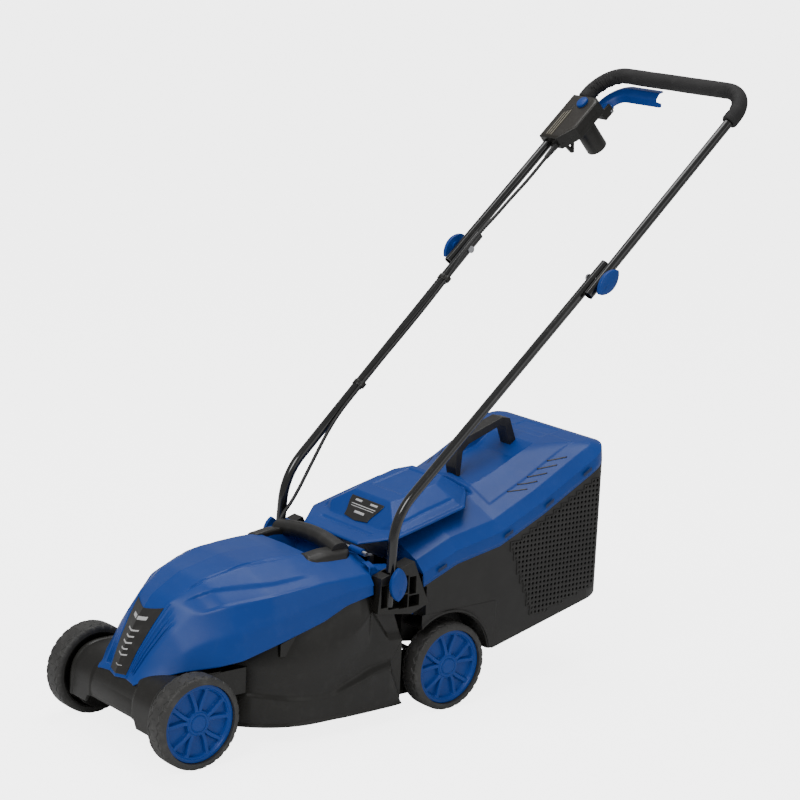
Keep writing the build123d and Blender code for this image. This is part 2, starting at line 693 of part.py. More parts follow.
strap = strap - prism([(strap_y0 - 8, 398), (strap_y0 + 3, 369), (strap_y1 - 28, 401), (strap_y1 + 11, 427),
                       (strap_y1 + 11, 300), (strap_y0 - 8, 300)], -strap_half - 1, strap_half + 1)
write(strap, "grass_box_handle")

# ---------------------------------------------------------------- lower push bar
bend_z = 371.0
foot_bend = 120.0
lower_top = bar_point(joint_x, overlap)
for name, side in SIDES:
    corner = (side * foot_top_x, foot_y + 8, bend_z)
    points = [(side * foot_x, foot_y - 1, foot_z), corner, (side * lower_top[0], lower_top[1], lower_top[2])]
    tube = tube_along(points, [foot_bend], tube_r, tube_r - tube_wall)
    hole_x0, hole_x1 = sorted((side * 120, side * 220))
    tube = tube - rod(hole_x0, hole_x1, foot_y, foot_bolt_z, bolt_r)
    tube = tube - rod(hole_x0, hole_x1, joint_y, joint_z, bolt_r + 0.05)
    write(tube, f"lower_tube_{name}")

# ---------------------------------------------------------------- wing knobs and their bolts
boss_r = 9.0
head_r = 7.0
knob_tilt = {"lower": 90.0, "upper": bar_angle}
knob_x = {"lower": socket_x1 + 2, "upper": upper_x + tube_r + 1.5}
knob_at = {"lower": (foot_y, foot_bolt_z), "upper": (joint_y, joint_z)}
bolt_x0 = {"lower": socket_x0 - 3, "upper": joint_x - tube_r - 1}


def wing_knob(place, side):
    """An almond-shaped wing knob on a round boss, with the blind hole for its bolt."""
    x0 = knob_x[place]
    y, z = knob_at[place]
    a0, a1 = sorted((side * (x0 + 4), side * (x0 + knob_t)))
    with BuildPart() as made:
        with BuildSketch(side_plane(a0)):
            with Locations(Location((y, z), knob_tilt[place])):
                Ellipse(knob_long / 2, knob_wide / 2)
        extrude(amount=a1 - a0)
    b0, b1 = sorted((side * x0, side * (x0 + 4)))
    c0, c1 = sorted((side * (x0 - 1), side * (x0 + knob_t - 4)))
    return made.part + rod(b0, b1, y, z, boss_r) - rod(c0, c1, y, z, bolt_r + run_gap)


for place in ("lower", "upper"):
    y, z = knob_at[place]
    bolts = []
    for name, side in SIDES:
        write(wing_knob(place, side), f"wing_knob_{place}_{name}")
        s0, s1 = sorted((side * bolt_x0[place], side * (knob_x[place] + knob_t - 5)))
        h0, h1 = sorted((side * (bolt_x0[place] - 4), side * bolt_x0[place]))
        bolts.append(rod(s0, s1, y, z, bolt_r) + rod(h0, h1, y, z, head_r))
    write(Compound(children=bolts), f"{place}_bolts")

# ---------------------------------------------------------------- upper push bar
upper_points = [bar_point(-upper_x, -overlap), bar_point(-upper_x, bar_len), bar_point(upper_x, bar_len),
                bar_point(upper_x, -overlap)]
upper_tube = tube_along(upper_points, [bar_bend, bar_bend], tube_r, tube_r - tube_wall)
upper_tube = upper_tube - rod(-230, 230, joint_y, joint_z, bolt_r + run_gap)
write(upper_tube, "upper_tube")
sw_t1 = 400.0
foam_t0 = sw_t1 + 5
foam_points = [bar_point(-upper_x, foam_t0), bar_point(-upper_x, bar_len), bar_point(upper_x, bar_len),
               bar_point(upper_x, foam_t0)]
write(tube_along(foam_points, [bar_bend, bar_bend], foam_r, tube_r), "foam_grip")

# ---------------------------------------------------------------- switch box
sw_x0 = -upper_x - 15
sw_x1 = -upper_x + 60
sw_t0 = 284.0
sw_n0 = -11.0
sw_split = 1.0
sw_n1 = 17.0
sw_wall = 2.2


def switch_half(n0, n1, inset):
    """One half of the switch box in plan, with its inner front corner cut back."""
    with BuildPart() as made:
        with BuildSketch(bar_plane.offset(n0)):
            with BuildLine():
                Polyline((sw_x0, sw_t0), (sw_x1 - 26, sw_t0), (sw_x1, sw_t0 + 34), (sw_x1, sw_t1 - 8),
                         (sw_x1 - 10, sw_t1), (sw_x0, sw_t1), close=True)
            make_face()
            if inset:
                offset(amount=-inset)
        extrude(amount=n1 - n0)
    return made.part


tube_core = tube_along([bar_point(-upper_x, sw_t0 - 5), bar_point(-upper_x, sw_t1 + 5)], [], tube_r)
inlet_x = sw_x1 - 27
inlet_t = 352.0
inlet_r = 21.0
inlet_len = 62.0
button_x = -upper_x + 28
button_t = sw_t1 - 20
pivot_t = sw_t1 + 9
pivot_n = -26.0
pivot_r = 2.5
lug_x0 = -upper_x + 22
lug_x1 = -upper_x + 52
saddle = bar_block(sw_x0, -upper_x + tube_r + 4, sw_t0, sw_t1, sw_n0, sw_n1)
base_half = switch_half(sw_n0, sw_split, 0) - switch_half(sw_n0 + sw_wall, sw_split + 1, sw_wall)
base_half = base_half + (saddle & switch_half(sw_n0, sw_split, 0)) - tube_core
hanger = bar_block(lug_x0 - 5, lug_x1 + 5, sw_t1 - 12, pivot_t + 5, pivot_n - 5, sw_n0)
hanger = hanger - bar_block(lug_x0, lug_x1, sw_t1 - 4, pivot_t + 6, pivot_n - 6, sw_n0 + 1)
pin_centre = bar_point(0, pivot_t, pivot_n)
base_half = base_half + hanger
base_half = base_half - rod(lug_x0 - 6, lug_x1 + 6, pin_centre[1], pin_centre[2], pivot_r)
top_half = switch_half(sw_split, sw_n1, 0) - switch_half(sw_split - 1, sw_n1 - sw_wall, sw_wall)
top_half = top_half + (saddle & switch_half(sw_split, sw_n1, 0)) - tube_core


def bar_round(x, t, n0, n1, r, hole=0.0):
    """A round boss square to the push bar, with an optional hole through it."""
    with BuildPart() as made:
        with BuildSketch(bar_plane.offset(n0)):
            with Locations((x, t)):
                Circle(r)
                if hole:
                    Circle(hole, mode=Mode.SUBTRACT)
        extrude(amount=n1 - n0)
    return made.part


button_r = 8.5
button_gap = 0.3
top_half = top_half - bar_round(button_x, button_t, sw_n1 - 5, sw_n1 + 1, button_r + button_gap)
write(top_half, "switch_box_cover")
base_half = base_half - bar_round(inlet_x, inlet_t, sw_n0 - 1, sw_n0 + sw_wall + 0.1, inlet_r - 3)
write(base_half, "switch_box_base")
write(rod(lug_x0 - 5, lug_x1 + 5, pin_centre[1], pin_centre[2], pivot_r), "lever_pin")
button = bar_round(button_x, button_t, sw_n1 - 4, sw_n1 + 8, button_r)
write(button, "lock_button")
cup = bar_round(inlet_x, inlet_t, sw_n0 - inlet_len, sw_n0, inlet_r, inlet_r - 2.5)
cup = cup + bar_round(inlet_x, inlet_t, sw_n0 - 4, sw_n0, inlet_r)
write(cup, "inlet_cup")
pins = []
for offset_x in (-6, 6):
    pins.append(bar_round(inlet_x + offset_x, inlet_t, sw_n0 - 26, sw_n0 - 4, 2.4))
pins.append(bar_round(inlet_x, inlet_t + 6, sw_n0 - 26, sw_n0 - 4, 2.4))
write(Compound(children=pins), "inlet_pins")
switch_body = bar_block(button_x - 10, button_x + 10, button_t - 40, button_t - 12, sw_n0 + sw_wall + 0.5,
                        sw_n1 - sw_wall - 2)
write(switch_body, "micro_switch")
hook_x = -upper_x + 20
with BuildPart() as hook:
    with BuildSketch(Plane(origin=bar_point(hook_x - 3, 0, 0), x_dir=(0, ca, sa), z_dir=(1, 0, 0))):
        with BuildLine():
            Polyline((298, sw_n0), (304, -44), (309, -46), (328, -22), (325, -19), (309, -37), (306, sw_n0),
                     close=True)
        make_face()
    extrude(amount=6)
write(hook.part, "cord_hook")

# ---------------------------------------------------------------- bail lever
lever_n1 = -27.0
lever_t = 4.0
lever_w = 24.0
lever_reach = bar_len - 16
lever_x0 = -upper_x + 37
lever_end = -upper_x + 150
with BuildPart() as lever:
    with BuildLine() as lever_path:
        FilletPolyline(bar_point(lever_x0, sw_t1 + 16, lever_n1 - lever_t / 2),
                       bar_point(lever_x0 - 4, lever_reach, lever_n1 - lever_t / 2),
                       bar_point(lever_end, lever_reach, lever_n1 - lever_t / 2), radius=[34])
    with BuildSketch(Plane(origin=bar_point(lever_x0, sw_t1 + 16, lever_n1 - lever_t / 2), x_dir=(1, 0, 0),
                           z_dir=lever_path.line % 0)):
        Rectangle(lever_w, lever_t)
    sweep(path=lever_path.line, transition=Transition.RIGHT)
barrel = rod(lug_x0 + 1, lug_x1 - 1, pin_centre[1], pin_centre[2], pivot_r + 3)
lever_arm = bar_block(lug_x0 + 3, lug_x1 - 3, pivot_t, sw_t1 + 20, lever_n1 - lever_t, lever_n1)
bail = lever.part + barrel + lever_arm - rod(lug_x0, lug_x1, pin_centre[1], pin_centre[2], pivot_r + run_gap)
write(bail, "bail_lever")

# ---------------------------------------------------------------- mains lead
relief_x = -upper_x + 21
relief_t0 = sw_t0 - 34
relief_n = -3.0
with BuildPart() as relief:
    for span, r in ((0, lead_r + 1.2), (34, lead_r + 3)):
        with BuildSketch(Plane(origin=bar_point(relief_x, relief_t0 + span, relief_n), z_dir=(0, ca, sa))):
            Circle(r)
    loft()
write(relief.part, "strain_relief")

# route of the lead: (x, along the bar, above the bar) down to the second clip, then (x, y, z) into the cover
lead_bar = [(relief_x, relief_t0, relief_n), (-173.5, 195, -6), (-170, 140, 0), (-163, 85, 6),
            (-158.5, 45, 12), (-158.5, -10, 13), (-159, -52, 5), (-159.4, -78, 1), (-156.6, -180, -1),
            (-152.4, -330, 2), (-151.6, -362, 1)]
lead_free = [(-148, 238, 464), (-144, 190, 393), (-141, 148, 328), (-138.6, 114, 296),
             (entry_x, entry_y, 262)]
route = [bar_point(*point) for point in lead_bar] + lead_free


def route_radii(points):
    """The largest arc at each corner: 0.45 of the shorter run over the tangent of half the turn."""
    radii = []
    for before, at, after in zip(points, points[1:], points[2:]):
        run_in = Vector(at) - Vector(before)
        run_out = Vector(after) - Vector(at)
        half_turn = math.radians(run_in.get_angle(run_out) / 2)
        radii.append(0.45 * min(run_in.length, run_out.length) / math.tan(half_turn))
    return radii


def middle(a, b):
    """The point halfway between two points."""
    return tuple((Vector(a) + Vector(b)) * 0.5)


radii = route_radii(route)
cut_a = middle(route[3], route[4])
cut_b = middle(route[6], route[7])
write(tube_along(route[:4] + [cut_a], radii[:3], lead_r), "lead_upper")
write(tube_along([cut_a] + route[4:7] + [cut_b], radii[3:6], lead_r), "lead_joint")
write(tube_along([cut_b] + route[7:], radii[6:], lead_r), "lead_lower")
write(pillar(entry_x, entry_y + 2, 268, 282, lead_r + 3.9, lead_r + 1.4), "lead_grommet")

clips = []
tube_from = Vector(-foot_top_x, foot_y + 8, bend_z)
tube_to = Vector(-lower_top[0], lower_top[1], lower_top[2])
tube_dir = (tube_to - tube_from).normalized()
for t in (-78, -346):
    beside = Vector(*bar_point(0, t))
    centre = tube_from + tube_dir * ((beside.Y - tube_from.Y) / tube_dir.Y)
    with BuildPart() as clip:
        with BuildSketch(Plane(origin=centre - tube_dir * 5, x_dir=(1, 0, 0), z_dir=tube_dir)):
            Circle(tube_r + 1.6)
            with Locations((tube_r + lead_r + 0.8, -1)):
                Circle(lead_r + 2.6)
            Circle(tube_r, mode=Mode.SUBTRACT)
            with Locations((tube_r + lead_r + 0.8, -1)):
                Circle(lead_r + 0.9, mode=Mode.SUBTRACT)
        extrude(amount=10)
    clips.append(clip.part)
write(Compound(children=clips), "cable_clips")
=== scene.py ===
import json
import math

import bmesh
import bpy
import numpy as np
from mathutils import Matrix


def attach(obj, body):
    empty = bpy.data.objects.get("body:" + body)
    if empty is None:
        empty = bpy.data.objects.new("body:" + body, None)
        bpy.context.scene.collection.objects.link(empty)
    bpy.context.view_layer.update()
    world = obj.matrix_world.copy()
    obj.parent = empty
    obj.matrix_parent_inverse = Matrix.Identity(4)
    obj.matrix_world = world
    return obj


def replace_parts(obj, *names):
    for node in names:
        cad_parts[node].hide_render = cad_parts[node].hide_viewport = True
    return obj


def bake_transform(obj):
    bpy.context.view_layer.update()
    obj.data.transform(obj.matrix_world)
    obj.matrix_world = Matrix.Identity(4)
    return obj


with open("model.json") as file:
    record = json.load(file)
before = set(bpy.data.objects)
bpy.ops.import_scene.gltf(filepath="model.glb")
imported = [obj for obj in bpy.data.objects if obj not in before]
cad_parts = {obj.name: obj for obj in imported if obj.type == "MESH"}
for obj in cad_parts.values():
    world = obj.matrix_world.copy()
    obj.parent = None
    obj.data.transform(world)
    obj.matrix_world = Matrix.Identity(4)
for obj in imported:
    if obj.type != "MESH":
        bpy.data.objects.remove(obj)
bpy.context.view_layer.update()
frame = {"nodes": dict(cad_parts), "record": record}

# Electric rotary mower: X across (+X the operator's left), the nose towards -Y, Z up, in metres.

# ------------------------------------------------------------------ sizes
WHEEL_R = 0.080
AXLE_Y = 0.2675
TYRE_X0 = 0.137
TYRE_X1 = 0.180
RIM_R = 0.069
BAR_SLOPE = math.radians(42.0)
JOINT_Y, JOINT_Z = 0.564, 0.757
UPPER_X = 0.193
BAR_LEN = 0.480
BAR_BEND = 0.060
FOAM_R = 0.0155
TUBE_R = 0.009
FLAP_Y, FLAP_Z = 0.112, 0.300
FLAP_SLOPE = math.radians(13.5)
SIDES = (("left", 1), ("right", -1))
ENDS = (("front", -1), ("rear", 1))


# ------------------------------------------------------------------ camera, light and floor
FLOOR_GLOW = 4.0       # how far the floor is lifted towards white, for the camera alone


def make_camera():
    """A long-lens camera above the nose's left, at the height of a person's chest."""
    data = bpy.data.cameras.new("camera")
    data.sensor_width = 36.0
    data.lens = 108.6
    data.clip_start, data.clip_end = 0.1, 50.0
    camera = bpy.data.objects.new("camera", data)
    right = (0.6282, 0.7767, 0.0444)
    up = (-0.2024, 0.1081, 0.9733)
    back = (0.7512, -0.6204, 0.2251)
    rows = [(right[i], up[i], back[i], place) for i, place in enumerate((3.2483, -2.4106, 1.5035))]
    camera.matrix_world = Matrix(rows + [(0, 0, 0, 1)])
    bpy.context.scene.collection.objects.link(camera)
    bpy.context.scene.camera = camera


def make_light(name, place, target, size, power, colour=(1, 1, 1)):
    """A square soft box at place, turned to face target."""
    data = bpy.data.lights.new(name, "AREA")
    data.shape, data.size, data.energy, data.color = "SQUARE", size, power, colour
    lamp = bpy.data.objects.new(name, data)
    lamp.location = place
    aim = Matrix.Translation(target).translation - Matrix.Translation(place).translation
    lamp.rotation_euler = aim.to_track_quat("-Z", "Y").to_euler()
    bpy.context.scene.collection.objects.link(lamp)


def make_stage():
    """A wide pale floor and three soft boxes, with an even pale sky."""
    data = bpy.data.meshes.new("floor")
    reach = 14.0
    data.from_pydata([(-reach, -reach, 0), (reach, -reach, 0), (reach, reach, 0), (-reach, reach, 0)],
                     [], [(0, 1, 2, 3)])
    floor = bpy.data.objects.new("floor", data)
    bpy.context.scene.collection.objects.link(floor)
    paint = bpy.data.materials.new("floor paint")
    paint.use_nodes = True
    shader = paint.node_tree.nodes["Principled BSDF"]
    shader.inputs["Base Color"].default_value = (0.93, 0.93, 0.93, 1)
    shader.inputs["Roughness"].default_value = 0.9
    seen = node(paint.node_tree, "ShaderNodeLightPath")
    glow = node(paint.node_tree, "ShaderNodeMath", [(seen.outputs["Is Camera Ray"], 0)],
                operation="MULTIPLY")
    glow.inputs[1].default_value = FLOOR_GLOW
    shader.inputs["Emission Color"].default_value = (1, 1, 1, 1)
    paint.node_tree.links.new(glow.outputs[0], shader.inputs["Emission Strength"])
    data.materials.append(paint)
    world = bpy.data.worlds.new("sky")
    world.use_nodes = True
    world.node_tree.nodes["Background"].inputs["Color"].default_value = (1, 1, 1, 1)
    sky = world.node_tree.nodes["Background"]
    ray = node(world.node_tree, "ShaderNodeLightPath")
    strength = node(world.node_tree, "ShaderNodeMath", [(ray.outputs["Is Camera Ray"], 0)],
                    operation="MULTIPLY_ADD")
    strength.inputs[1].default_value = FLOOR_GLOW
    strength.inputs[2].default_value = 0.42
    world.node_tree.links.new(strength.outputs[0], sky.inputs["Strength"])
    bpy.context.scene.world = world
    middle = (0, 0.1, 0.35)
    make_light("key", (1.2, -2.6, 3.2), middle, 1.6, 62)
    make_light("fill", (3.4, 1.2, 1.6), middle, 2.2, 12)
    make_light("top", (-0.6, 0.6, 3.4), middle, 1.8, 40)


# ------------------------------------------------------------------ shader groups
def new_group(name, ins, outs):
    """An empty shader node group with the named sockets, and its in and out nodes."""
    group = bpy.data.node_groups.new(name, "ShaderNodeTree")
    for label, kind in ins:
        group.interface.new_socket(name=label, in_out="INPUT", socket_type=kind)
    for label, kind in outs:
        group.interface.new_socket(name=label, in_out="OUTPUT", socket_type=kind)
    return group, group.nodes.new("NodeGroupInput"), group.nodes.new("NodeGroupOutput")


def node(tree, kind, links=(), **values):
    """A node of that kind, with its plain settings and sockets given by name and linked from others."""
    made = tree.nodes.new(kind)
    for key, value in values.items():
        if hasattr(made, key) and key not in made.inputs:
            setattr(made, key, value)
        else:
            made.inputs[key.replace("_", " ")].default_value = value
    for source, target in links:
        tree.links.new(source, made.inputs[target])
    return made


def tone_group():
    """Colour that drifts slowly between two tones, with pale dust in soft patches."""
    group, gin, gout = new_group(
        "tone drift",
        [("Vector", "NodeSocketVector"), ("Tone", "NodeSocketColor"), ("Other", "NodeSocketColor"),
         ("Scale", "NodeSocketFloat"), ("Dust", "NodeSocketFloat")],
        [("Color", "NodeSocketColor"), ("Mask", "NodeSocketFloat")])
    slow = node(group, "ShaderNodeTexNoise",
                [(gin.outputs["Vector"], "Vector"), (gin.outputs["Scale"], "Scale")],
                Detail=4.0, Roughness=0.55)
    ramp = node(group, "ShaderNodeMapRange", [(slow.outputs["Fac"], "Value")])
    ramp.inputs["From Min"].default_value = 0.35
    ramp.inputs["From Max"].default_value = 0.68
    tones = node(group, "ShaderNodeMix", [(ramp.outputs["Result"], "Factor")], data_type="RGBA")
    group.links.new(gin.outputs["Tone"], tones.inputs[6])
    group.links.new(gin.outputs["Other"], tones.inputs[7])
    fine = node(group, "ShaderNodeTexNoise", [(gin.outputs["Vector"], "Vector")], Scale=55.0, Detail=6.0)
    specks = node(group, "ShaderNodeMapRange", [(fine.outputs["Fac"], "Value")])
    specks.inputs["From Min"].default_value = 0.52
    specks.inputs["From Max"].default_value = 0.8
    amount = node(group, "ShaderNodeMath", [(specks.outputs["Result"], 0), (gin.outputs["Dust"], 1)],
                  operation="MULTIPLY")
    dusty = node(group, "ShaderNodeMix", [(amount.outputs[0], "Factor"), (tones.outputs[2], 6)],
                 data_type="RGBA")
    dusty.inputs[7].default_value = (0.34, 0.33, 0.31, 1)
    group.links.new(dusty.outputs[2], gout.inputs["Color"])
    group.links.new(ramp.outputs["Result"], gout.inputs["Mask"])
    return group


def grain_group():
    """The spark-eroded grain of moulded plastic: a fine pebble height and the roughness that goes with it."""
    group, gin, gout = new_group(
        "mould grain",
        [("Vector", "NodeSocketVector"), ("Scale", "NodeSocketFloat"), ("Rough", "NodeSocketFloat"),
         ("Spread", "NodeSocketFloat")],
        [("Height", "NodeSocketFloat"), ("Roughness", "NodeSocketFloat")])
    pebble = node(group, "ShaderNodeTexVoronoi",
                  [(gin.outputs["Vector"], "Vector"), (gin.outputs["Scale"], "Scale")], feature="SMOOTH_F1")
    haze = node(group, "ShaderNodeTexNoise", [(gin.outputs["Vector"], "Vector")], Scale=26.0, Detail=5.0)
    height = node(group, "ShaderNodeMath", [(pebble.outputs["Distance"], 0), (haze.outputs["Fac"], 1)],
                  operation="MULTIPLY_ADD")
    height.inputs[2].default_value = 0.1
    centred = node(group, "ShaderNodeMath", [(haze.outputs["Fac"], 0)], operation="SUBTRACT")
    centred.inputs[1].default_value = 0.5
    rough = node(group, "ShaderNodeMath",
                 [(centred.outputs[0], 0), (gin.outputs["Spread"], 1), (gin.outputs["Rough"], 2)],
                 operation="MULTIPLY_ADD")
    group.links.new(height.outputs[0], gout.inputs["Height"])
    group.links.new(rough.outputs[0], gout.inputs["Roughness"])
    return group


TONE = tone_group()
GRAIN = grain_group()


def make_finish(name, tone, other, rough, spread=0.12, grain=900.0, depth=0.08, coat=0.0, metal=0.0,
                drift=7.0, dust=0.05, specular=0.5):
    """One finish: two tones that drift, a moulded or cast grain, and an optional clear gloss over it."""
    material = bpy.data.materials.new(name)
    material.use_nodes = True
    tree = material.node_tree
    shader = tree.nodes["Principled BSDF"]
    place = node(tree, "ShaderNodeTexCoord")
    colour = node(tree, "ShaderNodeGroup", node_tree=TONE)
    colour.inputs["Tone"].default_value = (*tone, 1)
    colour.inputs["Other"].default_value = (*other, 1)
    colour.inputs["Scale"].default_value = drift
    colour.inputs["Dust"].default_value = dust
    surface = node(tree, "ShaderNodeGroup", node_tree=GRAIN)
    surface.inputs["Scale"].default_value = grain
    surface.inputs["Rough"].default_value = rough
    surface.inputs["Spread"].default_value = spread
    for target in (colour, surface):
        tree.links.new(place.outputs["Object"], target.inputs["Vector"])
    bump = node(tree, "ShaderNodeBump", [(surface.outputs["Height"], "Height")], Strength=depth,
                Distance=0.0006)
    tree.links.new(colour.outputs["Color"], shader.inputs["Base Color"])
    tree.links.new(surface.outputs["Roughness"], shader.inputs["Roughness"])
    tree.links.new(bump.outputs["Normal"], shader.inputs["Normal"])
    shader.inputs["Metallic"].default_value = metal
    shader.inputs["Specular IOR Level"].default_value = specular
    shader.inputs["Coat Weight"].default_value = coat
    shader.inputs["Coat Roughness"].default_value = 0.12
    return material


BLUE = make_finish("royal blue plastic", (0.0018, 0.046, 0.270), (0.0024, 0.054, 0.300), 0.40, grain=1300,
                   depth=0.05,
                   specular=0.35, dust=0.02)
BLACK = make_finish("black deck plastic", (0.0100, 0.0095, 0.0080), (0.0150, 0.0142, 0.0120), 0.36,
                    grain=800, depth=0.16,
                    specular=0.4, dust=0.02)
SWITCH = make_finish("brown black plastic", (0.015, 0.0125, 0.009), (0.021, 0.0175, 0.013), 0.34,
                     grain=1000, depth=0.1)
# pale brown for the switch ridges' tops: a painted highlight
SWITCH_RIDGE_HIGHLIGHT = make_finish("brown ridge highlight", (0.20, 0.18, 0.14), (0.26, 0.24, 0.19), 0.3, grain=1000,
                          depth=0.1)
GRIP = make_finish("grip black plastic", (0.012, 0.0115, 0.0105), (0.017, 0.016, 0.0145), 0.42, grain=500,
                   depth=0.3)
TUBE = make_finish("gloss black paint", (0.006, 0.006, 0.006), (0.010, 0.010, 0.010), 0.16, grain=260,
                   depth=0.02,
                   coat=0.5)
FOAM = make_finish("grip foam", (0.017, 0.0165, 0.017), (0.024, 0.023, 0.0235), 0.8, grain=420, depth=0.7,
                   dust=0.05)
TYRE = make_finish("tyre rubber", (0.030, 0.0295, 0.028), (0.044, 0.043, 0.041), 0.55, grain=300, depth=0.4,
                   dust=0.10)
STEEL = make_finish("zinc plate", (0.55, 0.56, 0.58), (0.42, 0.43, 0.46), 0.32, metal=1.0, grain=700,
                    depth=0.1)
BLADE = make_finish("blade steel", (0.20, 0.21, 0.22), (0.12, 0.13, 0.14), 0.45, metal=1.0, grain=200,
                    depth=0.3)
CORE = make_finish("varnished core", (0.10, 0.05, 0.03), (0.16, 0.10, 0.07), 0.4, grain=350, depth=0.3)
BRASS = make_finish("brass pin", (0.60, 0.44, 0.16), (0.50, 0.35, 0.12), 0.28, metal=1.0, grain=500,
                    depth=0.1)
LEAD = make_finish("lead jacket", (0.014, 0.014, 0.014), (0.022, 0.022, 0.022), 0.45, grain=900, depth=0.15)
PALE = make_finish("print white", (0.62, 0.62, 0.62), (0.55, 0.55, 0.55), 0.5, grain=300, depth=0.02)
ORANGE = make_finish("print orange", (0.80, 0.14, 0.02), (0.72, 0.12, 0.02), 0.5, grain=300, depth=0.02)
# darker blue for painted shade in the lid's catch windows
WINDOW_SHADE_BLUE = make_finish("shaded blue", (0.003, 0.020, 0.090), (0.004, 0.024, 0.100), 0.5, grain=900,
                        depth=0.1)
# near-black finish for painted shade: a sheet put where only shadow is seen
SHADE = make_finish("painted_shade black", (0.0012, 0.0012, 0.0012), (0.0020, 0.0020, 0.0020), 0.85, specular=0.1,
                    dust=0.0)
PANEL = make_finish("box grey plastic", (0.0200, 0.0195, 0.0185), (0.0270, 0.0262, 0.0250), 0.5, grain=900,
                    depth=0.12,
                    specular=0.35, dust=0.01)
FILM = make_finish("label film", (0.016, 0.015, 0.014), (0.022, 0.021, 0.020), 0.3, grain=200, depth=0.02)


# ------------------------------------------------------------------ mesh helpers
def smooth_rows(points, width, axis):
    """Soften a grid of points along one axis with a bell-shaped average of that many cells, ends kept."""
    if width <= 0:
        return points
    reach = int(3 * width) + 1
    bell = np.exp(-0.5 * (np.arange(-reach, reach + 1) / width) ** 2)
    bell /= bell.sum()
    moved = np.moveaxis(points, axis, 0)
    head = 2 * moved[:1] - moved[1:reach + 1][::-1]
    tail = 2 * moved[-1:] - moved[-reach - 1:-1][::-1]
    padded = np.concatenate([head, moved, tail])
    out = sum(bell[i] * padded[i:i + len(moved)] for i in range(len(bell)))
    return np.moveaxis(out, 0, axis)


def grid_faces(rows, cols, wrap_rows=False, wrap_cols=False, start=0):
    """The quads of a rows by cols grid of points, wrapped round in either direction."""
    i = np.arange(rows if wrap_rows else rows - 1)[:, None]
    j = np.arange(cols if wrap_cols else cols - 1)[None, :]
    a = i * cols + j
    b = i * cols + (j + 1) % cols
    c = ((i + 1) % rows) * cols + (j + 1) % cols
    d = ((i + 1) % rows) * cols + j
    return np.stack([a, b, c, d], axis=-1).reshape(-1, 4) + start


def new_piece(name, points, faces, material, body, crease=35.0, replaced=()):
    """One mesh from arrays, with doubles merged and normals outwards, that rides on a body."""
    data = bpy.data.meshes.new(name)
    data.from_pydata(np.asarray(points, float).reshape(-1, 3).tolist(), [], [tuple(face) for face in faces])
    piece = bpy.data.objects.new(name, data)
    bpy.context.scene.collection.objects.link(piece)
    mesh = bmesh.new()
    mesh.from_mesh(data)
    bmesh.ops.remove_doubles(mesh, verts=mesh.verts, dist=2e-6)
    bmesh.ops.recalc_face_normals(mesh, faces=mesh.faces)
    mesh.to_mesh(data)
    mesh.free()
    data.polygons.foreach_set("use_smooth", np.ones(len(data.polygons), bool))
    data.set_sharp_from_angle(angle=math.radians(crease))
    data.materials.append(material)
    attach(piece, body)
    if replaced:
        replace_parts(piece, *replaced)
    return piece


def revolve(profile, turns, centre):
    """Carry a closed (x, r) profile round the X axis through centre: y = r cos a, z = r sin a."""
    angle = np.linspace(0, 2 * np.pi, turns, endpoint=False)[:, None]
    x = np.broadcast_to(profile[None, :, 0], (turns, len(profile)))
    y = profile[None, :, 1] * np.cos(angle)
    z = profile[None, :, 1] * np.sin(angle)
    return np.stack([x + centre[0], y + centre[1], z + centre[2]], axis=-1)


def step(edge0, edge1, value):
    """0 below edge0, 1 above edge1, and a smooth S between them."""
    t = np.clip((value - edge0) / (edge1 - edge0), 0, 1)
    return t * t * (3 - 2 * t)


def bump(value, centre, half, soft):
    """1 within half of centre and 0 outside, with a soft edge."""
    return 1 - step(half, half + soft, np.abs(value - centre))


# ------------------------------------------------------------------ wheels
def make_tyre(name, end, side):
    """A tyre: a closed ring profile carried round the axle. Between the shoulders the radius drops by the
    groove depth along two zigzag grooves and the notches between the lugs at each shoulder."""
    half = (TYRE_X1 - TYRE_X0) / 2
    mid = side * (TYRE_X0 + TYRE_X1) / 2
    across = np.concatenate([
        np.linspace(-half + 0.001, -half, 3), np.full(4, -half), np.linspace(-half, -half + 0.005, 6)[1:],
        np.linspace(-half + 0.005, half - 0.005, 34)[1:-1], np.linspace(half - 0.005, half, 6)[:-1],
        np.full(4, half),
        np.linspace(half, half - 0.001, 3)])
    wall_r = np.linspace(RIM_R + 0.0005, WHEEL_R - 0.0045, 6)
    drop = np.abs(across) - (half - 0.005)
    radius = WHEEL_R - 0.0045 * (np.clip(drop, 0, None) / 0.005) ** 2 - 0.0008 * (across / half) ** 2
    radius[:3] = RIM_R - 0.001
    radius[3:7] = wall_r[:4]
    radius[-3:] = RIM_R - 0.001
    radius[-7:-3] = wall_r[:4][::-1]
    turns = 640
    angle = np.linspace(0, 2 * np.pi, turns, endpoint=False)[:, None]
    lug = angle * 27 / (2 * np.pi)
    saw = np.abs((lug % 1.0) - 0.5) * 4 - 1
    x = across[None, :] + 0 * angle
    groove = np.zeros_like(x)
    for offset, sign in ((-0.0120, 1), (0.0120, -1)):
        groove = np.maximum(groove, bump(x, offset + sign * saw * 0.0030, 0.0005, 0.0009))
    shoulder = step(0.0155, 0.0170, np.abs(x))
    notch = np.maximum(bump((lug + 0.25) % 1.0, 0.5, 0.10, 0.07) * (x > 0),
                       bump((lug + 0.75) % 1.0, 0.5, 0.10, 0.07) * (x < 0)) * shoulder
    sipe = bump(lug % 1.0, 0.5, 0.02, 0.03) * (1 - step(0.004, 0.006, np.abs(x)))
    tread = (np.abs(across) < half - 0.0002)[None, :] & (radius > WHEEL_R - 0.0047)[None, :]
    depth = 0.0014 * np.maximum(np.maximum(groove, notch), 0.5 * sipe) * tread
    r = radius[None, :] - depth
    points = np.stack([x + mid, r * np.cos(angle) + end * AXLE_Y, r * np.sin(angle) + WHEEL_R], axis=-1)
    faces = grid_faces(turns, len(across), wrap_rows=True, wrap_cols=True)
    return new_piece(f"{name}_rubber", points, faces, TYRE, name, 28)


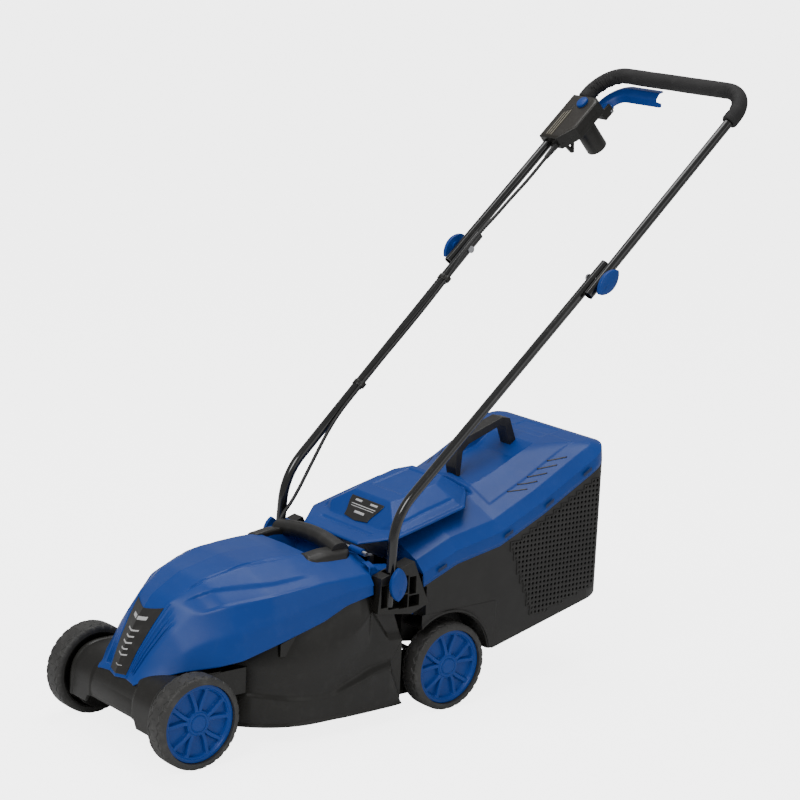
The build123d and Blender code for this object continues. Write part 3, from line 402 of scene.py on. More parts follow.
def make_rim(name, end, side):
    """A wheel disc: a polar grid whose outer face sinks into pockets between ten spokes, set in five close
    pairs that spread towards the rim. Depth is a product of smooth steps in radius and angle."""
    rings = np.concatenate([np.linspace(0.0002, 0.0165, 9), np.linspace(0.0172, 0.0185, 3),
                            np.linspace(0.0195, 0.060, 38),
                            np.linspace(0.0608, 0.0688, 13)])
    turns = 480
    angle = np.linspace(0, 2 * np.pi, turns, endpoint=False)[:, None]
    r = rings[None, :] + 0 * angle
    face = TYRE_X1 - 0.0035
    lean = 0.155 + 0.115 * step(0.020, 0.058, r)
    spoke = np.zeros_like(r)
    for hand in (-1, 1):
        turn = (angle - math.pi / 2 + hand * lean) % (2 * np.pi / 5)
        turn = np.minimum(turn, 2 * np.pi / 5 - turn)
        spoke = np.maximum(spoke, 1 - step(0.0028, 0.0054, turn * r))
    pocket = step(0.0215, 0.0235, r) * (1 - step(0.0560, 0.0590, r)) * (1 - spoke)
    corner = step(0.0, 0.0105, 0.0405 - np.abs(r - 0.0398) - 0.0085 * 0)
    height = face - 0.0040 - 0.0062 * pocket * corner
    height += 0.0026 * step(0.0595, 0.0615, r) * (1 - step(0.0665, 0.0688, r))
    height += 0.0020 * (1 - step(0.0185, 0.0205, r))
    height -= 0.0012 * bump(r, 0.0142, 0.0005, 0.0007)
    height += 0.0006 * (1 - step(0.0130, 0.0138, r))
    back = np.array([(0.0690, TYRE_X1 - 0.0120), (0.0655, TYRE_X1 - 0.0140), (0.0180, TYRE_X1 - 0.0165),
                     (0.0002, TYRE_X1 - 0.0165)])
    r = np.concatenate([r, np.broadcast_to(back[:, 0], (turns, len(back)))], axis=1)
    x = np.concatenate([height, np.broadcast_to(back[:, 1], (turns, len(back)))], axis=1)
    points = np.stack([side * x, r * np.cos(angle) + end * AXLE_Y, r * np.sin(angle) + WHEEL_R], axis=-1)
    faces = grid_faces(turns, r.shape[1], wrap_rows=True)
    ends = [list(range(0, turns * r.shape[1], r.shape[1])),
            list(range(r.shape[1] - 1, turns * r.shape[1], r.shape[1]))]
    faces = [tuple(quad) for quad in faces] + [tuple(ring) for ring in ends]
    return new_piece(f"{name}_disc", points, faces, BLUE, name, 30)


def make_shaded_wheel_back(name, end, side):
    """The moulding behind the disc, in black as painted shade for the wheel's shadowed inside: a closed profile
    of the tyre's bed, the dished web and the hub.
    """
    profile = np.array([
        (TYRE_X1 - 0.0126, 0.0690), (TYRE_X0 + 0.0015, 0.0690), (TYRE_X0 + 0.0005, 0.0675),
        (TYRE_X0 + 0.0005, 0.0655),
        (TYRE_X0 + 0.0030, 0.0645), (TYRE_X1 - 0.0220, 0.0630), (TYRE_X1 - 0.0240, 0.0600),
        (TYRE_X1 - 0.0255, 0.0200),
        (TYRE_X0 + 0.0010, 0.0175), (TYRE_X0 - 0.0022, 0.0165), (TYRE_X0 - 0.0030, 0.0150),
        (TYRE_X0 - 0.0030, 0.0054),
        (TYRE_X1 - 0.0175, 0.0054), (TYRE_X1 - 0.0175, 0.0620), (TYRE_X1 - 0.0150, 0.0650)])
    profile[:, 0] *= side
    points = revolve(profile, 160, (0, end * AXLE_Y, WHEEL_R))
    faces = grid_faces(160, len(profile), wrap_rows=True, wrap_cols=True)
    # BLACK here is painted shade: the wheel's inside lies in deep shadow.
    return new_piece(f"{name}_back", points, faces, BLACK, name, 30)


def make_wheels():
    """The four wheels, each of a tyre and a disc with its hub cap."""
    for end_name, end in ENDS:
        for side_name, side in SIDES:
            name = f"wheel_{end_name}_{side_name}"
            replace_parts(make_tyre(name, end, side), f"tyre_{end_name}_{side_name}")
            make_shaded_wheel_back(name, end, side)
            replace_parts(make_rim(name, end, side), f"rim_{end_name}_{side_name}",
                        f"hub_cap_{end_name}_{side_name}")


# ------------------------------------------------------------------ tubes
def frames_along(path):
    """Unit tangents of a path and two square directions that turn with it as little as possible."""
    tangent = np.gradient(path, axis=0)
    tangent /= np.linalg.norm(tangent, axis=1, keepdims=True)
    first = np.cross(tangent[0], (0.0, 0.0, 1.0) if abs(tangent[0][2]) < 0.9 else (1.0, 0.0, 0.0))
    first /= np.linalg.norm(first)
    sides = [first]
    for t in tangent[1:]:
        side = sides[-1] - t * np.dot(sides[-1], t)
        sides.append(side / np.linalg.norm(side))
    sides = np.array(sides)
    return tangent, sides, np.cross(tangent, sides)


def rounded_path(corners, radii, spacing=0.004):
    """Straight runs between corners joined by tangent arcs: each arc starts radius * tan(half turn) before
    its corner, and is stepped by equal angles."""
    corners = [np.array(c, float) for c in corners]
    points = [corners[0]]
    for before, at, after, radius in zip(corners, corners[1:], corners[2:], radii):
        a = (before - at) / np.linalg.norm(before - at)
        b = (after - at) / np.linalg.norm(after - at)
        half = math.acos(np.clip(np.dot(a, b), -1, 1)) / 2
        reach = radius / math.tan(half)
        middle = at + (a + b) / np.linalg.norm(a + b) * radius / math.sin(half)
        start, stop = at + a * reach - middle, at + b * reach - middle
        turn = math.pi - 2 * half
        for t in np.linspace(0, 1, max(int(radius * turn / spacing), 6) + 1):
            blended = start * math.sin((1 - t) * turn) + stop * math.sin(t * turn)
            points.append(middle + blended / math.sin(turn))
    points.append(corners[-1])
    out = [points[0]]
    for a, b in zip(points, points[1:]):
        pieces = max(int(np.linalg.norm(b - a) / spacing / 2), 1)
        out += [a + (b - a) * k / pieces for k in range(1, pieces + 1)]
    return np.array(out)


def tube_points(path, radius, sides=40):
    """A grid of circles square to a path; radius is one number, or one for each point and angle."""
    _, u, v = frames_along(path)
    angle = np.linspace(0, 2 * np.pi, sides, endpoint=False)
    r = np.broadcast_to(radius, (len(path), sides))[..., None]
    turned = np.cos(angle)[None, :, None] * u[:, None] + np.sin(angle)[None, :, None] * v[:, None]
    return path[:, None] + r * turned


def make_tube(name, path, radius, material, body, sides=40, wall=0.0014, replaced=()):
    """A pipe along a path, closed at each end by a rolled lip that turns into the bore."""
    outer = tube_points(path, radius, sides)
    inner = tube_points(path, radius - wall, sides)
    rings = np.concatenate([outer, inner[::-1]])
    faces = grid_faces(len(rings), sides, wrap_rows=True, wrap_cols=True)
    return new_piece(name, rings, faces, material, body, 40, replaced)


def bar_point(x, t, n=0.0):
    """The point at x across, t up the push bar from its folding joint and n square to it."""
    return (x, JOINT_Y + t * math.cos(BAR_SLOPE) - n * math.sin(BAR_SLOPE),
            JOINT_Z + t * math.sin(BAR_SLOPE) + n * math.cos(BAR_SLOPE))


FOOT = (0.163, 0.132, 0.212)
FOOT_BEND = (0.160, 0.141, 0.371)
LOWER_TOP = bar_point(0.1745, 0.038)


def make_push_bar():
    """The two lower tubes, the U of the upper tube, and the foam grip with its creases inside the bends."""
    for name, side in SIDES:
        corners = [(side * p[0], p[1], p[2]) for p in (FOOT, FOOT_BEND, LOWER_TOP)]
        make_tube(f"lower_bar_{name}", rounded_path(corners, [0.120]), TUBE_R, TUBE, "chassis",
                  replaced=[f"lower_tube_{name}"])
    def upper(start):
        """The upper bar's line from its start on each side, by way of both corners."""
        return rounded_path([bar_point(-UPPER_X, start), bar_point(-UPPER_X, BAR_LEN),
                             bar_point(UPPER_X, BAR_LEN),
                             bar_point(UPPER_X, start)], [BAR_BEND, BAR_BEND], 0.0016)
    make_tube("upper_bar", upper(-0.038), TUBE_R, TUBE, "upper_handle",
              replaced=["upper_tube"])
    path = upper(0.405)
    tangent, u, v = frames_along(path)
    turning = np.linalg.norm(np.gradient(tangent, axis=0), axis=1)
    bent = smooth_rows((turning > turning.max() * 0.3).astype(float), 5, 0)
    length = np.concatenate([[0], np.cumsum(np.linalg.norm(np.diff(path, axis=0), axis=1))])
    sides = 56
    angle = np.linspace(0, 2 * np.pi, sides, endpoint=False)[None, :]
    centre = path.mean(axis=0)
    inward = centre - path
    inward -= tangent * np.sum(inward * tangent, axis=1, keepdims=True)
    inward /= np.linalg.norm(inward, axis=1, keepdims=True)
    facing = np.cos(angle) * np.sum(u * inward, axis=1)[:, None] + np.sin(angle) * np.sum(v * inward,
                                                                                          axis=1)[:, None]
    phase = length[:, None] / 0.0058 * 2 * np.pi + 1.3 * np.sin(angle * 2 + length[:, None] * 90)
    crease = np.abs(np.sin(phase / 2)) ** 0.6 * (0.75 + 0.25 * np.sin(length[:, None] * 310))
    inner_side = step(-0.25, 0.6, facing)
    ends = np.minimum(length, length[-1] - length)[:, None]
    rim = 0.0022 * (1 - np.clip(ends / 0.003, 0, 1)) ** 2
    radius = FOAM_R - 0.0034 * (1 - crease) * bent[:, None] * inner_side - rim
    radius += 0.00025 * np.sin(angle * 5 + length[:, None] * 60)
    outer = tube_points(path, np.minimum(radius, FOAM_R), sides)
    inner = tube_points(path, TUBE_R + 0.0002, sides)
    rings = np.concatenate([outer, inner[::-1]])
    foam = new_piece("foam_sleeve", rings, grid_faces(len(rings), sides, True, True), FOAM, "upper_handle",
                     50,
                     ["foam_grip"])


# ------------------------------------------------------------------ lofted shells
def rails(stations, rows, soft_u, cols, knots, soft_v):
    """A shell through stations: rails are joined straight from station to station and from rail to rail on a
    fine grid, and both directions are then softened so that every edge gets a small round."""
    stations = np.array(stations, float) / 1000
    along = np.concatenate([[0], np.cumsum(np.linalg.norm(np.diff(stations, axis=0), axis=2).mean(axis=1))])
    u = np.linspace(0, along[-1], rows)
    lines = np.stack([[np.interp(u, along, stations[:, rail, axis]) for axis in range(3)]
                      for rail in range(stations.shape[1])])
    v = np.linspace(0, 1, cols)
    points = np.stack([[np.interp(v, knots,
                                  lines[:, axis, row]) for row in range(rows)] for axis in range(3)],
                                  axis=-1)
    return smooth_rows(smooth_rows(points, soft_u, 0), soft_v, 1)


def mirror_half(points):
    """A half shell for +X, from its middle out, made whole by its mirror image."""
    left = points[:, :0:-1].copy()
    left[..., 0] *= -1
    points[:, 0, 0] = 0
    return np.concatenate([left, points], axis=1)


def grid_normals(points):
    """Unit normals of a grid of points, from the cross product of its two directions."""
    normal = np.cross(np.gradient(points, axis=0), np.gradient(points, axis=1))
    return normal / np.maximum(np.linalg.norm(normal, axis=-1, keepdims=True), 1e-12)


def shell_piece(name, points, thick, material, body, crease=30.0, replaced=(), flip=False):
    """A sheet from a grid, thickened inwards by Solidify, its rim closed."""
    rows, cols = points.shape[:2]
    faces = grid_faces(rows, cols)
    if flip:
        faces = faces[:, ::-1]
    piece = new_piece(name, points, faces, material, body, crease, replaced)
    data = piece.data
    centre = points.reshape(-1, 3).mean(axis=0)
    outward = sum(np.dot(np.array(p.normal), np.array(p.center) - centre) * p.area for p in data.polygons)
    if outward < 0:
        data.flip_normals()
    wall = piece.modifiers.new("wall", "SOLIDIFY")
    wall.thickness = thick
    wall.offset = -1
    wall.use_even_offset = False
    return piece


COVER_STATIONS = [
    # middle, label edge, shoulder, flank, lower edge (x, y, z in mm), from the tip of the nose to the back
    [(0, -321, 120), (25, -315, 122), (44, -318, 121), (50, -319, 121), (54, -320, 121)],
    [(0, -304, 165), (31, -294, 168), (57, -286, 166), (74, -282, 152), (84, -286, 136)],
    [(0, -279, 212), (38, -268, 211), (70, -253, 205), (98, -247, 178), (108, -254, 147)],
    [(0, -250, 253), (44, -240, 251), (80, -221, 233), (118, -207, 196), (135, -205, 154)],
    [(0, -195, 285), (56, -186, 280), (110, -178, 251), (141, -168, 205), (151, -166, 162)],
    [(0, -112, 303), (64, -112, 300), (141, -102, 264), (156, -98, 222), (160, -92, 184)],
    [(0, -20, 304), (70, -21, 303), (149, -39, 271), (162, -24, 238), (165, -9, 208)],
    [(0, 33, 300), (80, 33, 298), (153, 30, 273), (163, 36, 250), (165, 40, 229)],
    [(0, 102, 297), (82, 102, 296), (150, 102, 274), (163, 102, 258), (165, 102, 240)],
    [(0, 105, 289), (82, 105, 289), (150, 105, 273), (163, 105, 257), (165, 105, 240)],
    [(0, 120, 289), (82, 120, 289), (149, 120, 272), (163, 120, 256), (165, 120, 240)],
]
DISH = dict(half=0.064, front=0.026, back=0.100, floor=0.262)


def cover_surface(rows=260, cols=90):
    """The cover's half shell through its stations, from the nose back, with the grooves beside the nose, the
    long facet on its shoulder and the dish for the fingers pressed into it."""
    half = rails(COVER_STATIONS, rows, 3.2, cols, [0, 0.32, 0.58, 0.80, 1.0], 1.5)
    u = np.linspace(0, 1, rows)[:, None]
    v = np.linspace(0, 1, cols)[None, :]
    normal = grid_normals(half)
    if normal[rows // 2, 3, 2] < 0:
        normal = -normal
    sunk = np.zeros((rows, cols))
    for place in (0.385, 0.440, 0.495):
        sunk += 0.0024 * bump(v, place, 0.010, 0.012) * step(0.015, 0.03,
                                                             u) * (1 - step(0.20, 0.27,
                                                                            u + 0.3 * (v - 0.44)))
    sunk -= 0.0016 * bump(v, 0.318, 0.008, 0.012) * (1 - step(0.27, 0.30, u))
    upper = 0.40 + 0.10 * step(0.30, 0.62, u)
    facet = step(upper - 0.012, upper + 0.012, v) * (1 - step(0.565, 0.600, v))
    sunk += 0.0032 * facet * step(0.30, 0.36, u) * (1 - step(0.70, 0.78, u))
    crest = 0.27 + 0.05 * u
    sunk += 0.0016 * bump(v, crest + 0.02, 0.004, 0.010) * step(0.32, 0.38, u) * (1 - step(0.66, 0.72, u))
    half = half - normal * sunk[..., None]
    x, y, z = half[..., 0], half[..., 1], half[..., 2]
    inside = (1 - step(DISH["half"] - 0.004, DISH["half"] + 0.002, x))
    inside = inside * step(DISH["front"] - 0.003, DISH["front"] + 0.012,
                           y) * (1 - step(DISH["back"] - 0.003, DISH["back"], y))
    half[..., 2] = z + (DISH["floor"] - z) * inside
    half[..., 0] = np.where(y > 0.0982, np.minimum(x, 0.1472), x)
    return half


NOSE_PRINT = [(72, 77, 14, 26), (72, 77, 30, 46), (57, 59, 17, 43), (49, 51, 20, 40), (41, 43, 18, 42),
              (33, 35, 21, 39),
              (25, 27, 17, 43), (11, 12, 20, 40)]


def make_cover():
    """The blue motor cover, and the dark label on its nose with pale bars raised on it. The label lies on the
    cover between its label edges."""
    half = cover_surface()
    shell_piece("motor_hood", mirror_half(half.copy()), 0.0026, BLUE, "chassis", 30,
                ["motor_cover"])
    whole = mirror_half(half.copy())
    middle = whole.shape[1] // 2
    rows, reach = whole.shape[0], int(0.290 * half.shape[1])
    lifted = whole + 0.0009 * np.where(grid_normals(whole)[..., 2:] > 0, 1, -1) * grid_normals(whole)
    across = np.linspace(-1, 1, 61)
    down = np.linspace(0, 1, 90)
    label = np.zeros((90, 61, 3))
    for j, a in enumerate(across):
        top = 0.262 * (1 - 0.075 * (1 - abs(a) ** 1.6))
        row = (0.012 + (top - 0.012) * down) * (rows - 1)
        col = middle + a * reach
        low = np.floor(row).astype(int)
        part = (row - low)[:, None]
        left, share = int(math.floor(col)), col - math.floor(col)
        for k, weight in ((left, 1 - share), (left + 1, share)):
            label[:, j] += weight * (lifted[low, k] * (1 - part) + lifted[low + 1, k] * part)
    shell_piece("nose_film", label, 0.0005, FILM, "chassis", 30, ["nose_label"])
    raised = label + 0.0004 * np.where(grid_normals(label)[..., 2:] > 0, 1, -1) * grid_normals(label)
    for k, (row0, row1, col0, col1) in enumerate(NOSE_PRINT):
        shell_piece(f"nose_print_{k + 1}", raised[row0:row1 + 1, col0:col1 + 1], 0.0003, PALE, "chassis",
                    30)


# ------------------------------------------------------------------ deck
DECK_R = 0.170
SPINDLE_Y = -0.015
DECK_ARC = [
    # turn from the front, ridge height, crest height, how far in the top lies, top height (degrees and mm)
    (0, 92, 132, 12, 156), (28, 92, 134, 12, 160), (52, 88, 136, 8, 174), (75, 79, 138, 9, 196),
    (90, 75, 150, 11, 214)]
DECK_SIDE = [
    # lip, base, crease, above the crease, waist, crest, shoulder, top (x, y, z in mm) along the +X side
    [(178, 13, 33), (175, 13, 37), (174, 13, 75), (169.5, 13, 80), (170.0, 13, 112), (176, 13, 152),
     (168, 13, 190), (157, 13, 222)],
    [(180, 30, 33), (177, 30, 37), (177, 30, 81), (169.0, 30, 87), (169.0, 30, 120), (176, 30, 164),
     (168, 30, 200), (157, 30, 230)],
    [(181, 68, 33), (178, 68, 37), (179, 68, 92), (168.4, 68, 99), (168.2, 68, 140), (175, 68, 192),
     (167, 68, 220), (157, 68, 244)],
    [(181, 88, 33), (178, 88, 37), (180, 88, 99), (168.2, 88, 106), (167.6, 88, 146), (172, 88, 208),
     (164, 88, 226), (157, 88, 240)],
    [(181, 93, 33), (178, 93, 37), (179, 93, 101), (168.2, 93, 108), (167.4, 92, 146), (164, 92, 208),
     (161, 92, 222), (157, 92, 236)],
    [(181, 134, 33), (178, 134, 37), (177, 133, 107), (168.2, 134, 113), (167.2, 134, 136),
     (166.6, 134, 150), (158, 134, 162), (157.5, 134, 205)],
    [(179, 163, 33), (176, 161, 37), (172, 136, 107), (168.2, 140, 112), (167.2, 160, 136),
     (166.6, 166, 148), (158, 166, 160), (157.5, 150, 200)],
    [(140, 167, 33), (140, 164, 37), (140, 137, 107), (140, 141, 111), (140, 162, 136), (140, 167, 148),
     (140, 166, 160), (140, 150, 200)]]


def make_deck():
    """The skirt: a round front and straight sides with a ridge near its foot, the bulge round the blade that
    climbs to the cover, and the flat fin in front of the rear wheel. Eight rails run from the front's middle
    to the back; the part above the ridge is softened more, so that it reads as one swelling surface."""
    stations = []
    table = np.array(DECK_ARC, float)
    for turn in np.linspace(0, 90, 14):
        ridge, crest, top_in, top = (np.interp(turn, table[:, 0], table[:, k]) for k in range(1, 5))
        angle = math.radians(turn)
        rail = []
        for out, z in ((7, 33), (4, 37), (3, ridge - 2), (-0.6, ridge + 3), (0, (ridge + crest) / 2),
                       (5, crest), (-0.2 * top_in, (crest + top) / 2 + 4), (-top_in, top)):
            r = DECK_R * 1000 + out
            rail.append((r * math.sin(angle), SPINDLE_Y * 1000 - r * math.cos(angle), z))
        stations.append(rail)
    rows, cols = 230, 96
    half = rails(stations + DECK_SIDE, rows, 1.6, cols, [0, 0.02, 0.32, 0.345, 0.50, 0.72, 0.88, 1.0], 1.2)
    swelling = smooth_rows(smooth_rows(half, 9, 1), 6, 0)
    u = np.linspace(0, 1, rows)[:, None]
    v = np.linspace(0, 1, cols)[None, :]
    share = step(0.37, 0.46, v) * (1 - step(0.93, 1.0, v)) * (1 - step(0.66, 0.74, u)) * (1 + 0 * u)
    half = half + (swelling - half) * share[..., None]
    shell_piece("deck_skin", mirror_half(half.transpose(1, 0, 2)), 0.0022, BLACK, "chassis",
                32)


def make_carrier():
    """The bracket over the front axle: a rounded square section about the axle, y and z being a cosine and a
    sine to the power 0.87, that stops at a lip below; its middle panel is sunk and its two ends reach lower."""
    x = np.linspace(-0.1262, 0.1262, 210)[:, None]
    v = np.linspace(0, 1, 110)[None, :]
    side = np.abs(x)
    angle = np.pi / 2 * (1 - np.clip((v - 0.22) / 0.55, 0, 1))
    drop = np.clip((v - 0.77) / 0.20, 0, 1)
    radius = 0.0612 + 0.0016 * step(0.1185, 0.1200,
                                    side) - 0.0022 * (1 - step(0.061, 0.067, side)) * step(0.45, 0.6, v)
    power = 0.87
    y = -AXLE_Y - radius * np.cos(angle) ** power
    z = WHEEL_R + radius * np.maximum(np.sin(angle), 0) ** power
    y = np.where(v < 0.22, -AXLE_Y + (0.22 - v) / 0.22 * 0.075, y)
    floor = 0.066 - 0.014 * step(0.071, 0.080, side)
    z = z - drop * (WHEEL_R - floor)
    tuck = np.clip((v - 0.97) / 0.03, 0, 1)
    y = y + 0.006 * tuck
    points = np.stack([x + 0 * v, y, z], axis=-1)
    points = smooth_rows(smooth_rows(points, 0.8, 0), 1.2, 1)
    shell_piece("carrier_shell", points, 0.003, BLACK, "chassis", 32)


# ------------------------------------------------------------------ carry handle
def make_carry_handle():
    """A thick grip along X whose middle arches up by a parabola and whose section is a flattened circle, let
    into a block at each end that wraps down over the cover's shoulder."""
    reach = 0.088
    x = np.linspace(-reach, reach, 120)
    t = x / reach
    path = np.stack([x, 0.080 + 0.005 * (1 - t ** 2), 0.2985 + 0.0105 * (1 - t ** 2)], axis=-1)
    angle = np.linspace(0, 2 * np.pi, 48, endpoint=False)
    size = 0.0142 + 0.0016 * np.abs(t)[:, None] ** 4
    power = 0.85
    dy = np.sign(np.cos(angle)) * np.abs(np.cos(angle)) ** power * 1.18
    dz = np.sign(np.sin(angle)) * np.abs(np.sin(angle)) ** power
    rings = np.stack([path[:, None, 0] + 0 * angle, path[:, None, 1] + size * dy,
                      path[:, None, 2] + size * dz], axis=-1)
    body = len(x)
    faces = [tuple(q) for q in grid_faces(body, 48, wrap_cols=True)]
    faces += [tuple(range(47, -1, -1)), tuple(range((body - 1) * 48, body * 48))]
    new_piece("carry_grip", rings, faces, GRIP, "chassis", 40, ["carry_handle"])
    for name, side in SIDES:
        # section across (x, z of the upper face) followed from the dish side out over the shoulder
        across = np.array([(65.0, 262.0), (65.0, 303.0), (68.0, 306.0), (86.0, 304.5), (98.0, 298.0),
                           (106.0, 284.0),
                           (107.5, 276.0), (103.0, 272.0)]) / 1000
        knots = np.concatenate([[0], np.cumsum(np.linalg.norm(np.diff(across, axis=0), axis=1))])
        fine = np.linspace(0, knots[-1], 70)
        section = np.stack([np.interp(fine, knots, across[:, k]) for k in range(2)], axis=-1)
        section = smooth_rows(section, 1.3, 0)
        along = np.linspace(0, 1, 60)
        front = 0.008 + 0.012 * step(0.088, 0.106, section[:, 0])
        back = 0.0985 - 0.010 * step(0.090, 0.106, section[:, 0])
        y = front[None, :] + (back - front)[None, :] * along[:, None]
        round_end = np.minimum(along, 1 - along)[:, None] * (back - front)[None, :]
        sink = 0.0045 * np.clip(1 - round_end / 0.006, 0, 1) ** 2
        low_front = 0.004 * (1 - step(0.0, 0.45, along))[:, None] * (section[None, :, 0] > 0.0652)
        z = section[None, :, 1] - sink - low_front
        xx = section[None, :, 0] - sink * step(0.095, 0.104, section[None, :, 0])
        grid = np.stack([side * xx, y, z], axis=-1)
        shell_piece(f"grip_block_{name}", grid, 0.003, GRIP, "chassis", 40)


# ------------------------------------------------------------------ rear flap
def flap_point(x, t, n):
    """The point at x across, t down the flap's slope from its hinge and n square to it, in metres."""
    return np.stack(np.broadcast_arrays(
        x, FLAP_Y + t * math.cos(FLAP_SLOPE) - n * math.sin(FLAP_SLOPE),
        FLAP_Z + t * math.sin(FLAP_SLOPE) + n * math.cos(FLAP_SLOPE)), axis=-1)


def outline_half(t, table):
    """The half width at each t, straight between the table's (t, half width) pairs, in metres."""
    table = np.array(table, float) / 1000
    return np.interp(t, table[:, 0], table[:, 1])


def hill(x, t, base, lid, height):
    """A flat-topped hill: its height rises in a straight slope from the base outline to the lid outline. Each
    outline is a front t, a back t and a table of half widths; the least share of the four sides is used."""
    foot = outline_half(t, base[2])
    share_side = (foot - x) / np.maximum(foot - outline_half(t, lid[2]), 1e-4)
    share_front = (t - base[0]) / (lid[0] - base[0])
    share_back = (base[1] - t) / (base[1] - lid[1])
    return height * np.clip(np.minimum(np.minimum(share_side, share_front), share_back), 0, 1)


def make_flap():
    """The flap is a height over its own plane: a sheet with a turned-down rim, a flat-topped hill with a
    second low step, and two pressed ribs near the hinge."""
    rows, cols = 180, 90
    t = (0.0125 + np.linspace(0, 1, rows) * (0.281 - 0.0125))[:, None]
    edge = outline_half(t, [(12, 78), (30, 92), (70, 124), (150, 125.5), (225, 125), (262, 86), (281, 60)])
    x = np.linspace(0, 1, cols)[None, :] * edge
    t = t + 0 * x
    base = (0.070, 0.274, [(60, 68), (72, 74), (90, 114), (223, 114), (262, 78), (280, 62)])
    lid = (0.118, 0.247, [(60, 46), (118, 52), (146, 60), (217, 60), (247, 42), (280, 30)])
    n = 0.003 + hill(x, t, base, lid, 0.031)
    low = (0.150, 0.236, [(60, 44), (150, 44), (236, 40), (280, 36)])
    high = (0.153, 0.233, [(60, 41), (150, 41), (236, 37), (280, 33)])
    n -= hill(x, t, low, high, 0.0022)
    n -= 0.0022 * bump(t, 0.050, 0.002, 0.003) * (1 - step(0.070, 0.078, x))
    n -= 0.0020 * bump(x, 0.098, 0.0010, 0.0022) * step(0.075, 0.085, t) * (1 - step(0.215, 0.225, t))
    inset = np.minimum(edge - x, np.minimum(t - 0.0125, 0.281 - t))
    n -= 0.0035 * np.clip(1 - inset / 0.004, 0, 1) ** 2
    half = flap_point(x, t, n)
    half = smooth_rows(smooth_rows(half, 0.9, 0), 0.8, 1)
    shell_piece("flap_skin", mirror_half(half), 0.0025, BLUE, "flap", 30, ["rear_flap"])
    for name, side in SIDES:
        x = side * np.linspace(0.078, 0.112, 20)
        path = np.stack([x, 0 * x + FLAP_Y, 0 * x + FLAP_Z - 0.001], axis=-1)
        make_tube(f"flap_knuckle_{name}", path, 0.006, BLUE, "flap", 32, 0.0028)
    slope = math.atan2(0.031, 0.048)
    row = np.linspace(0, 1, 60)[:, None]
    across = np.linspace(-1, 1, 60)[None, :]
    along = 0.0035 + 0.041 * row
    half_w = 0.033 + 0.013 * step(0.0, 1.0, row)
    dip = 0.0045 * (1 - row) * (1 - np.abs(across))
    run = along - dip
    film = flap_point(across * half_w, 0.070 + run * math.cos(slope),
                      0.0033 + run * math.sin(slope) + 0.0008)
    shell_piece("flap_film", film, 0.0005, FILM, "flap", 30, ["flap_label"])
    for name, x0, x1, r0, r1, finish in (
            ("a", -0.030, -0.012, 0.78, 0.88, PALE), ("b", -0.006, 0.006, 0.74, 0.90, ORANGE),
            ("c", 0.012, 0.032, 0.78, 0.88, PALE), ("d", -0.034, 0.034, 0.60, 0.64, PALE),
            ("e", -0.032, 0.032, 0.50, 0.53, PALE), ("f", -0.014, 0.014, 0.22, 0.34, PALE)):
        bx = np.linspace(x0, x1, 8)[None, :]
        br = 0.0035 + 0.041 * np.linspace(r0, r1, 4)[:, None]
        bar = flap_point(bx, 0.070 + br * math.cos(slope), 0.0033 + br * math.sin(slope) + 0.0012 + 0 * bx)
        shell_piece(f"flap_print_{name}", bar, 0.0003, finish, "flap", 30)


# ------------------------------------------------------------------ grass box
BOX_HALF = 0.168
BOX_Y0, BOX_Y1 = 0.206, 0.650
BOX_CORNER = 0.048
RIM = np.array([(206, 236), (282, 266), (382, 284), (480, 327), (642, 412), (660, 421)]) / 1000
CROWN = np.array([(206, 318), (392, 388), (560, 432), (650, 450), (660, 451)]) / 1000
UNDER_FLAP = np.array([(206, 310.6), (370, 352), (390, 357), (660, 357)]) / 1000


def lid_height(x, y):
    """The lid's outer height: the rim line plus a rise that depends on how far inside the plan outline the
    point lies, cut off by the crown line, with a seat for the flap, a raised table and the strap's dish."""
    across = np.abs(x)
    dx = BOX_HALF - across
    dy = BOX_Y1 - y
    corner = BOX_CORNER - np.hypot(np.clip(BOX_CORNER - dx, 0, None), np.clip(BOX_CORNER - dy, 0, None))
    inside = np.where((dx < BOX_CORNER) & (dy < BOX_CORNER), corner, np.minimum(dx, dy))
    rise = np.interp(inside, [0, 0.0018, 0.024, 0.108, 0.300], [0, 0.024, 0.043, 0.076, 0.100])
    rim = np.interp(y, RIM[:, 0], RIM[:, 1])
    crown = np.interp(y, CROWN[:, 0], CROWN[:, 1])
    z = rim + rise
    k = 0.004
    z = -k * np.logaddexp(-z / k, -crown / k)
    table = step(0.052, 0.056, inside) * step(0.396, 0.400, y)
    z = z + 0.0016 * table
    seat = (1 - step(0.1265, 0.1295, across)) * (1 - step(0.3895, 0.3935, y))
    z = z + (np.minimum(np.interp(y, UNDER_FLAP[:, 0], UNDER_FLAP[:, 1]), z) - z) * seat
    floor = np.interp(y, [0.396, 0.404, 0.512, 0.548], [0.402, 0.372, 0.404, 0.430])
    dish = (1 - step(0.0585, 0.0625, across)) * step(0.3975, 0.4015, y) * (1 - step(0.546, 0.552, y))
    z = z + (np.minimum(floor, z) - z) * dish
    pad = (1 - step(0.045, 0.048, across)) * step(0.575, 0.578, y) * (1 - step(0.622, 0.626, y))
    return z - 0.0013 * pad


def plan_half(y):
    """The box's half width at y: straight sides, then a quarter circle at each rear corner."""
    past = np.clip(y - (BOX_Y1 - BOX_CORNER), 0, BOX_CORNER)
    return BOX_HALF - BOX_CORNER + np.sqrt(np.maximum(BOX_CORNER ** 2 - past ** 2, 0))


